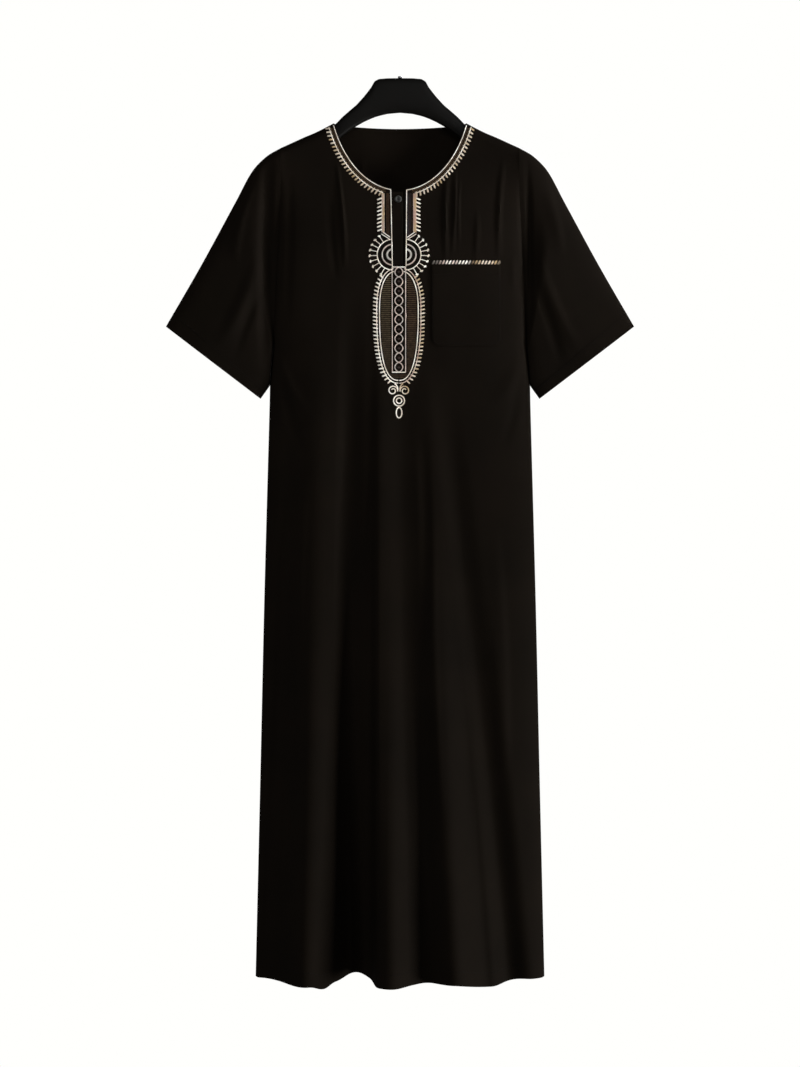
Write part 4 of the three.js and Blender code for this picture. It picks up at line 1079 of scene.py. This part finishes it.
# The column of rings
# Two upright satin cords with a bar at each end. Between them two cords cross and make a chain of rings, each
# with a small dark red-brown knot in its middle.
COLUMN = {"half": 10.7, "top": -308.2, "bottom": -475.4, "rings": 11, "r": 6.3}
KNOT_HALF, KNOT_WIDE = 1.6, (1.2, 2.6, 3.1, 2.6, 1.2)
top, bottom, count = COLUMN["top"], COLUMN["bottom"], COLUMN["rings"]
left, right = MIDDLE - COLUMN["half"], MIDDLE + COLUMN["half"]
rows = [
    satin([(left, top), (left + 0.4, bottom)], 0.9, "silver", "blush"),
    satin([(right, top), (right, bottom)], 0.9, "silver", "blush"),
    satin([(left, top), (right, top)], 1.0, "ivory", "cream"),
    satin([(left, bottom), (right, bottom)], 1.1, "ivory", "cream"),
]
pitch = (top - bottom) / count
t = np.linspace(0, count, count * 22 + 1)
weave = np.abs(np.sin(np.pi * t)) ** 0.62 * np.where(np.floor(t) % 2 == 0, 1, -1) * COLUMN["r"]
for hand, colours in ((1, ("silver", "blush")), (-1, ("blush", "silver"))):
    strand = np.column_stack([MIDDLE + hand * weave, top - 0.6 - (pitch - 0.1) * t])
    rows.append(satin(strand, 1.0, *colours, pitch=0.6, off=0.1 if hand > 0 else 0.0))
for k in range(count):
    middle_z = top - pitch * (k + 0.5)
    knot = [(MIDDLE, middle_z + KNOT_HALF), (MIDDLE, middle_z - KNOT_HALF)]
    rows.append(satin(knot, KNOT_WIDE, "wine", high=0.6, slant=0))
column = sew("ring_chain", rayon, [stitches_on(front, np.concatenate(rows), 1)], seed=21)
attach(column, "root")
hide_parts("ring_column")

# The pendant
# Two scrolls, a double ring and a long drop hang from the foot of the oval. They are the same satin stitch,
# sewn on the front itself.
SCROLL = {"x": 9.4, "z": -504.6, "r": 7.6, "last": 2.3, "from": 190, "to": -320}  # angles in degrees
STALK = ((6.6, -493.4), (4.2, -495.4), (2.2, -498.6), (1.6, -503))  # x from the middle, and z
RINGS = {"x": -1.5, "z": -520.6, "radii": (8.6, 4.3)}
DROP = {"x": -1.5, "z": -539.6, "half": 4.4, "tall": 8.2}
rows = []
for hand, colours in ((1, ("cream", "gold")), (-1, ("ivory", "cream"))):
    t = np.linspace(0, 1, 60)
    a = np.radians(SCROLL["from"] + (SCROLL["to"] - SCROLL["from"]) * t)
    r = SCROLL["r"] + (SCROLL["last"] - SCROLL["r"]) * t**1.2
    curl = np.column_stack([SCROLL["x"] + r * np.cos(a), SCROLL["z"] + r * np.sin(a)])
    curl[:, 0] = MIDDLE + hand * curl[:, 0]
    stalk = [(MIDDLE + hand * x, z) for x, z in STALK]
    rows += [satin(curl, 1.15, *colours), satin(stalk, 1.15, *colours)]
for r in RINGS["radii"]:
    a = np.linspace(0, 2 * np.pi, 50)
    ring = np.column_stack([RINGS["x"] + r * np.cos(a), RINGS["z"] + r * np.sin(a)])
    rows.append(satin(ring, 1.2, "ivory", "cream"))
a = np.linspace(np.pi / 2, 2.5 * np.pi, 60)
outline = np.column_stack([DROP["x"] + DROP["half"] * np.cos(a), DROP["z"] + DROP["tall"] * np.sin(a)])
rows.append(satin(outline, 1.2, "ivory", "cream"))
pendant = sew("scrolls_and_drop", rayon, [stitches_on(front, np.concatenate(rows), 1)], seed=23)
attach(pendant, "root")
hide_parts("pendant")

# The trim of the pocket's mouth
# One row of slanted satin bars along the pocket's mouth. The thread is dyed in lengths, so that its colour
# changes along the row. Across each bar the middle strands carry a painted highlight and the outer ones
# painted shade.
TRIM = {"from": 50.5, "to": 159.5, "z": -301.2, "tall": 4.6, "bars": 21, "slant": 1.15}
# The strands of a bar: place across it, share of its length, and painted light: the middle strands lighter as
# a painted highlight along the bar's crest, the outer ones darker as painted shade at its sides
STRANDS = ((-1.35, 0.8, 0.45), (-0.6, 1.0, 1.1), (0.15, 1.0, 1.3), (0.9, 0.9, 1.0), (1.6, 0.7, 0.4))
DYED = ["smoke", "smoke", "blush", "ivory", "blush", "ivory", "ivory"]
DYED += ["bronze", "gold", "cream", "cream", "gold", "smoke"]
rows = []
pitch = (TRIM["to"] - TRIM["from"]) / TRIM["bars"]
for k in range(TRIM["bars"]):
    share = (k + 0.5) / TRIM["bars"] * (len(DYED) - 1)
    colour = between(DYED[int(share)], DYED[min(int(share) + 1, len(DYED) - 1)], [share % 1])[0]
    for aside, share_long, strand_painted_light in STRANDS:
        cx = TRIM["from"] + pitch * (k + 0.5) + aside
        length = TRIM["tall"] / math.sin(TRIM["slant"]) * share_long
        # Painted light: each strand's colour is scaled lighter in the bar's middle and darker at its sides,
        # with a little random tone
        shade = strand_painted_light * rng.uniform(0.95, 1.15)
        rows.append([cx, TRIM["z"], TRIM["slant"], length, 0.85, 1.0, 0.1, *(colour * shade)])
trim = sew("pocket_mouth_trim", rayon, [stitches_on(front, np.array(rows), 1)], steps=4, seed=29)
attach(trim, "root")
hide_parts("pocket_trim")

# The hanger
# One moulding in black polypropylene, wide and rounded at the shoulders, with a raised boss in the middle.
# The garment rests on its arms. A fine parting line runs along its top and underside.
SECTION_POWER = 0.7  # under 1 makes the rounded section fuller
SECTION_SIDES = 48
PARTING_HIGH = 0.25
# Distance from the middle, height of the top and of the underside, and half the depth there
HANGER = [
    (0, -2.9, -57.6, 7),
    (20, -3.1, -59.4, 7),
    (34, -4.2, -62.7, 7),
    (41, -8, -65, 7),
    (46, -17.4, -66.9, 7),
    (58, -32.8, -72.4, 7),
    (70, -46, -79.2, 7),
    (83, -57, -88, 7),
    (93, -65.8, -95.5, 6.6),
    (101, -74.2, -101.5, 6),
    (108, -81.4, -105.5, 6.2),
    (134, -92.4, -119, 8.5),
    (154, -101, -129, 10),
    (180, -112.9, -144, 12),
    (198, -122.8, -152, 13),
    (207, -130.5, -154, 12),
    (210.5, -137, -152, 8),
]


def hanger_mesh():
    """The table's sections, smoothed once, joined along the hanger and closed at both tips."""
    beside = [np.linspace(1, 52, 44), np.linspace(54, 207, 78), np.linspace(207.6, 210.5, 7)]
    beyond = np.concatenate(beside)
    along = np.concatenate([-beyond[::-1], [0], beyond])
    rows = np.array(HANGER, float)
    top, bottom, deep = (np.interp(np.abs(along), rows[:, 0], rows[:, k]) for k in (1, 2, 3))
    blur = [0.25, 0.5, 0.25]
    top, bottom = (np.convolve(np.pad(v, 1, mode="edge"), blur, "valid") for v in (top, bottom))
    a = 2 * np.pi * (np.arange(SECTION_SIDES) + 0.5) / SECTION_SIDES
    c = np.sign(np.cos(a)) * np.abs(np.cos(a)) ** SECTION_POWER
    s = np.sign(np.sin(a)) * np.abs(np.sin(a)) ** SECTION_POWER
    ridge = PARTING_HIGH * (np.abs(np.cos(a)) > 0.995)
    z = bottom[:, None] + (top - bottom)[:, None] * (1 + c) / 2 + ridge * np.sign(c)
    points = np.stack([np.broadcast_to(along[:, None], z.shape), deep[:, None] * s, z], -1)
    n = len(a)
    flat_list = points.reshape(-1, 3).tolist()
    faces = []
    for i in range(len(along) - 1):
        for j in range(n):
            p, q = i * n + j, i * n + (j + 1) % n
            faces.append((p, q, q + n, p + n))
    end = (len(along) - 1) * n
    for base, order in ((0, 1), (end, -1)):
        flat_list.append(points.reshape(-1, 3)[base : base + n].mean(0).tolist())
        for j in range(n):
            p, q = base + j, base + (j + 1) % n
            faces.append((len(flat_list) - 1, q, p)[::order])
    made = bpy.data.meshes.new("hanger")
    made.from_pydata([[v * MM for v in p] for p in flat_list], [], faces)
    made.polygons.foreach_set("use_smooth", [True] * len(faces))
    made.set_sharp_from_angle(angle=math.radians(40))
    made.update()
    return made


# Polypropylene, injection moulded with a light satin grain: black, faintly mottled over 70 mm, with soft dim
# highlights. The grain is drawn 0.6 mm across, coarser than it is, so that it shows.
moulded, tree, shader = material("moulded_polypropylene", Roughness=0.5, Specular_IOR_Level=0.08)
here = add(tree, "ShaderNodeTexCoord").outputs["Object"]
mottle = add(tree, "ShaderNodeTexNoise", {"Vector": here, "Scale": 14.0, "Detail": 4.0})
ramp = add(tree, "ShaderNodeValToRGB", {"Fac": mottle.outputs["Fac"]})
ramp.color_ramp.elements[0].color = linear("#070605")
ramp.color_ramp.elements[1].color = linear("#0B0A08")
tree.links.new(ramp.outputs["Color"], shader.inputs["Base Color"])
grain = add(tree, "ShaderNodeTexNoise", {"Vector": here, "Scale": 1600.0, "Detail": 2.0})
bump = add(tree, "ShaderNodeBump", {"Height": grain.outputs["Fac"], "Strength": 0.3, "Distance": 0.0002})
tree.links.new(bump.outputs["Normal"], shader.inputs["Normal"])
hanger = place("moulded_hanger", hanger_mesh(), moulded)
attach(hanger, "root")
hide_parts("hanger")

# The ferrule
# A small turned steel sleeve, pressed into the boss of the hanger. It is plain steel: grey, with fine rings
# left by the tool, drawn 0.35 mm apart.
steel, tree, shader = material("turned_steel", Metallic=1.0, Roughness=0.34)
here = add(tree, "ShaderNodeTexCoord").outputs["Object"]
marks = {"Vector": here, "Scale": 900.0, "Distortion": 0.4}
rings = add(tree, "ShaderNodeTexWave", marks, wave_type="RINGS", rings_direction="Z")
ramp = add(tree, "ShaderNodeValToRGB", {"Fac": rings.outputs["Fac"]})
ramp.color_ramp.elements[0].color = linear("#77767A")
ramp.color_ramp.elements[1].color = linear("#A09FA2")
tree.links.new(ramp.outputs["Color"], shader.inputs["Base Color"])
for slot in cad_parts["hanger_ferrule"].material_slots:
    slot.material = steel

# The studio
# A plain white surround. The light comes from the front and mostly from the right, low across the skirt and
# in a narrow beam along the chest, where it picks out the creases. Weaker lamps stand at the left and behind.
ROOM_LIGHT = 0.13  # strength of the surround on the robe itself
CAMERA_AWAY, CAMERA_HIGH = 3.0, -0.731
VIEW_TALL = 1.7072  # of the photograph's frame at the hanger: 1067 pixels of 1.6 mm
SENSOR = 36
world = bpy.data.worlds.new("white_surround")
bpy.context.scene.world = world
world.use_nodes = True
background = world.node_tree.nodes["Background"]
tree = world.node_tree
background.inputs["Color"].default_value = linear("#FFFFFD")
background.inputs["Strength"].default_value = 1.0
room = add(tree, "ShaderNodeBackground", {"Color": linear("#F3F2F0"), "Strength": ROOM_LIGHT})
seen = add(tree, "ShaderNodeLightPath").outputs["Is Camera Ray"]
both = add(tree, "ShaderNodeMixShader", {0: seen, 1: room.outputs[0], 2: background.outputs[0]})
tree.links.new(both.outputs[0], tree.nodes["World Output"].inputs["Surface"])
bpy.context.scene.view_settings.view_transform = "Standard"


def lamp(name, place_at, aim, size, power, spread=180):
    """A square lamp, aimed at a point. size in metres, power in watts, spread in degrees."""
    data = bpy.data.lights.new(name, "AREA")
    data.size, data.energy, data.spread = size, power, math.radians(spread)
    made = bpy.data.objects.new(name, data)
    made.location = place_at
    reach = np.array(aim) - np.array(place_at)
    made.rotation_euler = (math.acos(-reach[2] / np.linalg.norm(reach)), 0, math.atan2(-reach[0], reach[1]))
    bpy.context.scene.collection.objects.link(made)


lamp("key_lamp", (0.9, -2.6, 0.9), (0, 0, -0.6), 1.4, 25)
lamp("low_right_lamp", (2.3, -0.9, -1.6), (0, 0, -1.3), 0.9, 84)
lamp("left_lamp", (-2.2, -1.7, -0.7), (-0.2, 0, -0.9), 0.9, 20)
lamp("high_right_lamp", (2.0, -0.45, 0.25), (0.0, 0, -0.25), 0.3, 1.1, spread=25)
lamp("back_lamp", (0.9, 2.6, 0.5), (0, 0, -0.7), 1.2, 26)

camera = bpy.data.cameras.new("camera")
camera.sensor_fit, camera.sensor_width = "AUTO", SENSOR
camera.lens = CAMERA_AWAY * SENSOR / VIEW_TALL
camera.clip_end = 30
viewer = bpy.data.objects.new("camera", camera)
viewer.location = (0, -CAMERA_AWAY, CAMERA_HIGH)
viewer.rotation_euler = (math.pi / 2, 0, 0)
bpy.context.scene.collection.objects.link(viewer)
bpy.context.scene.camera = viewer
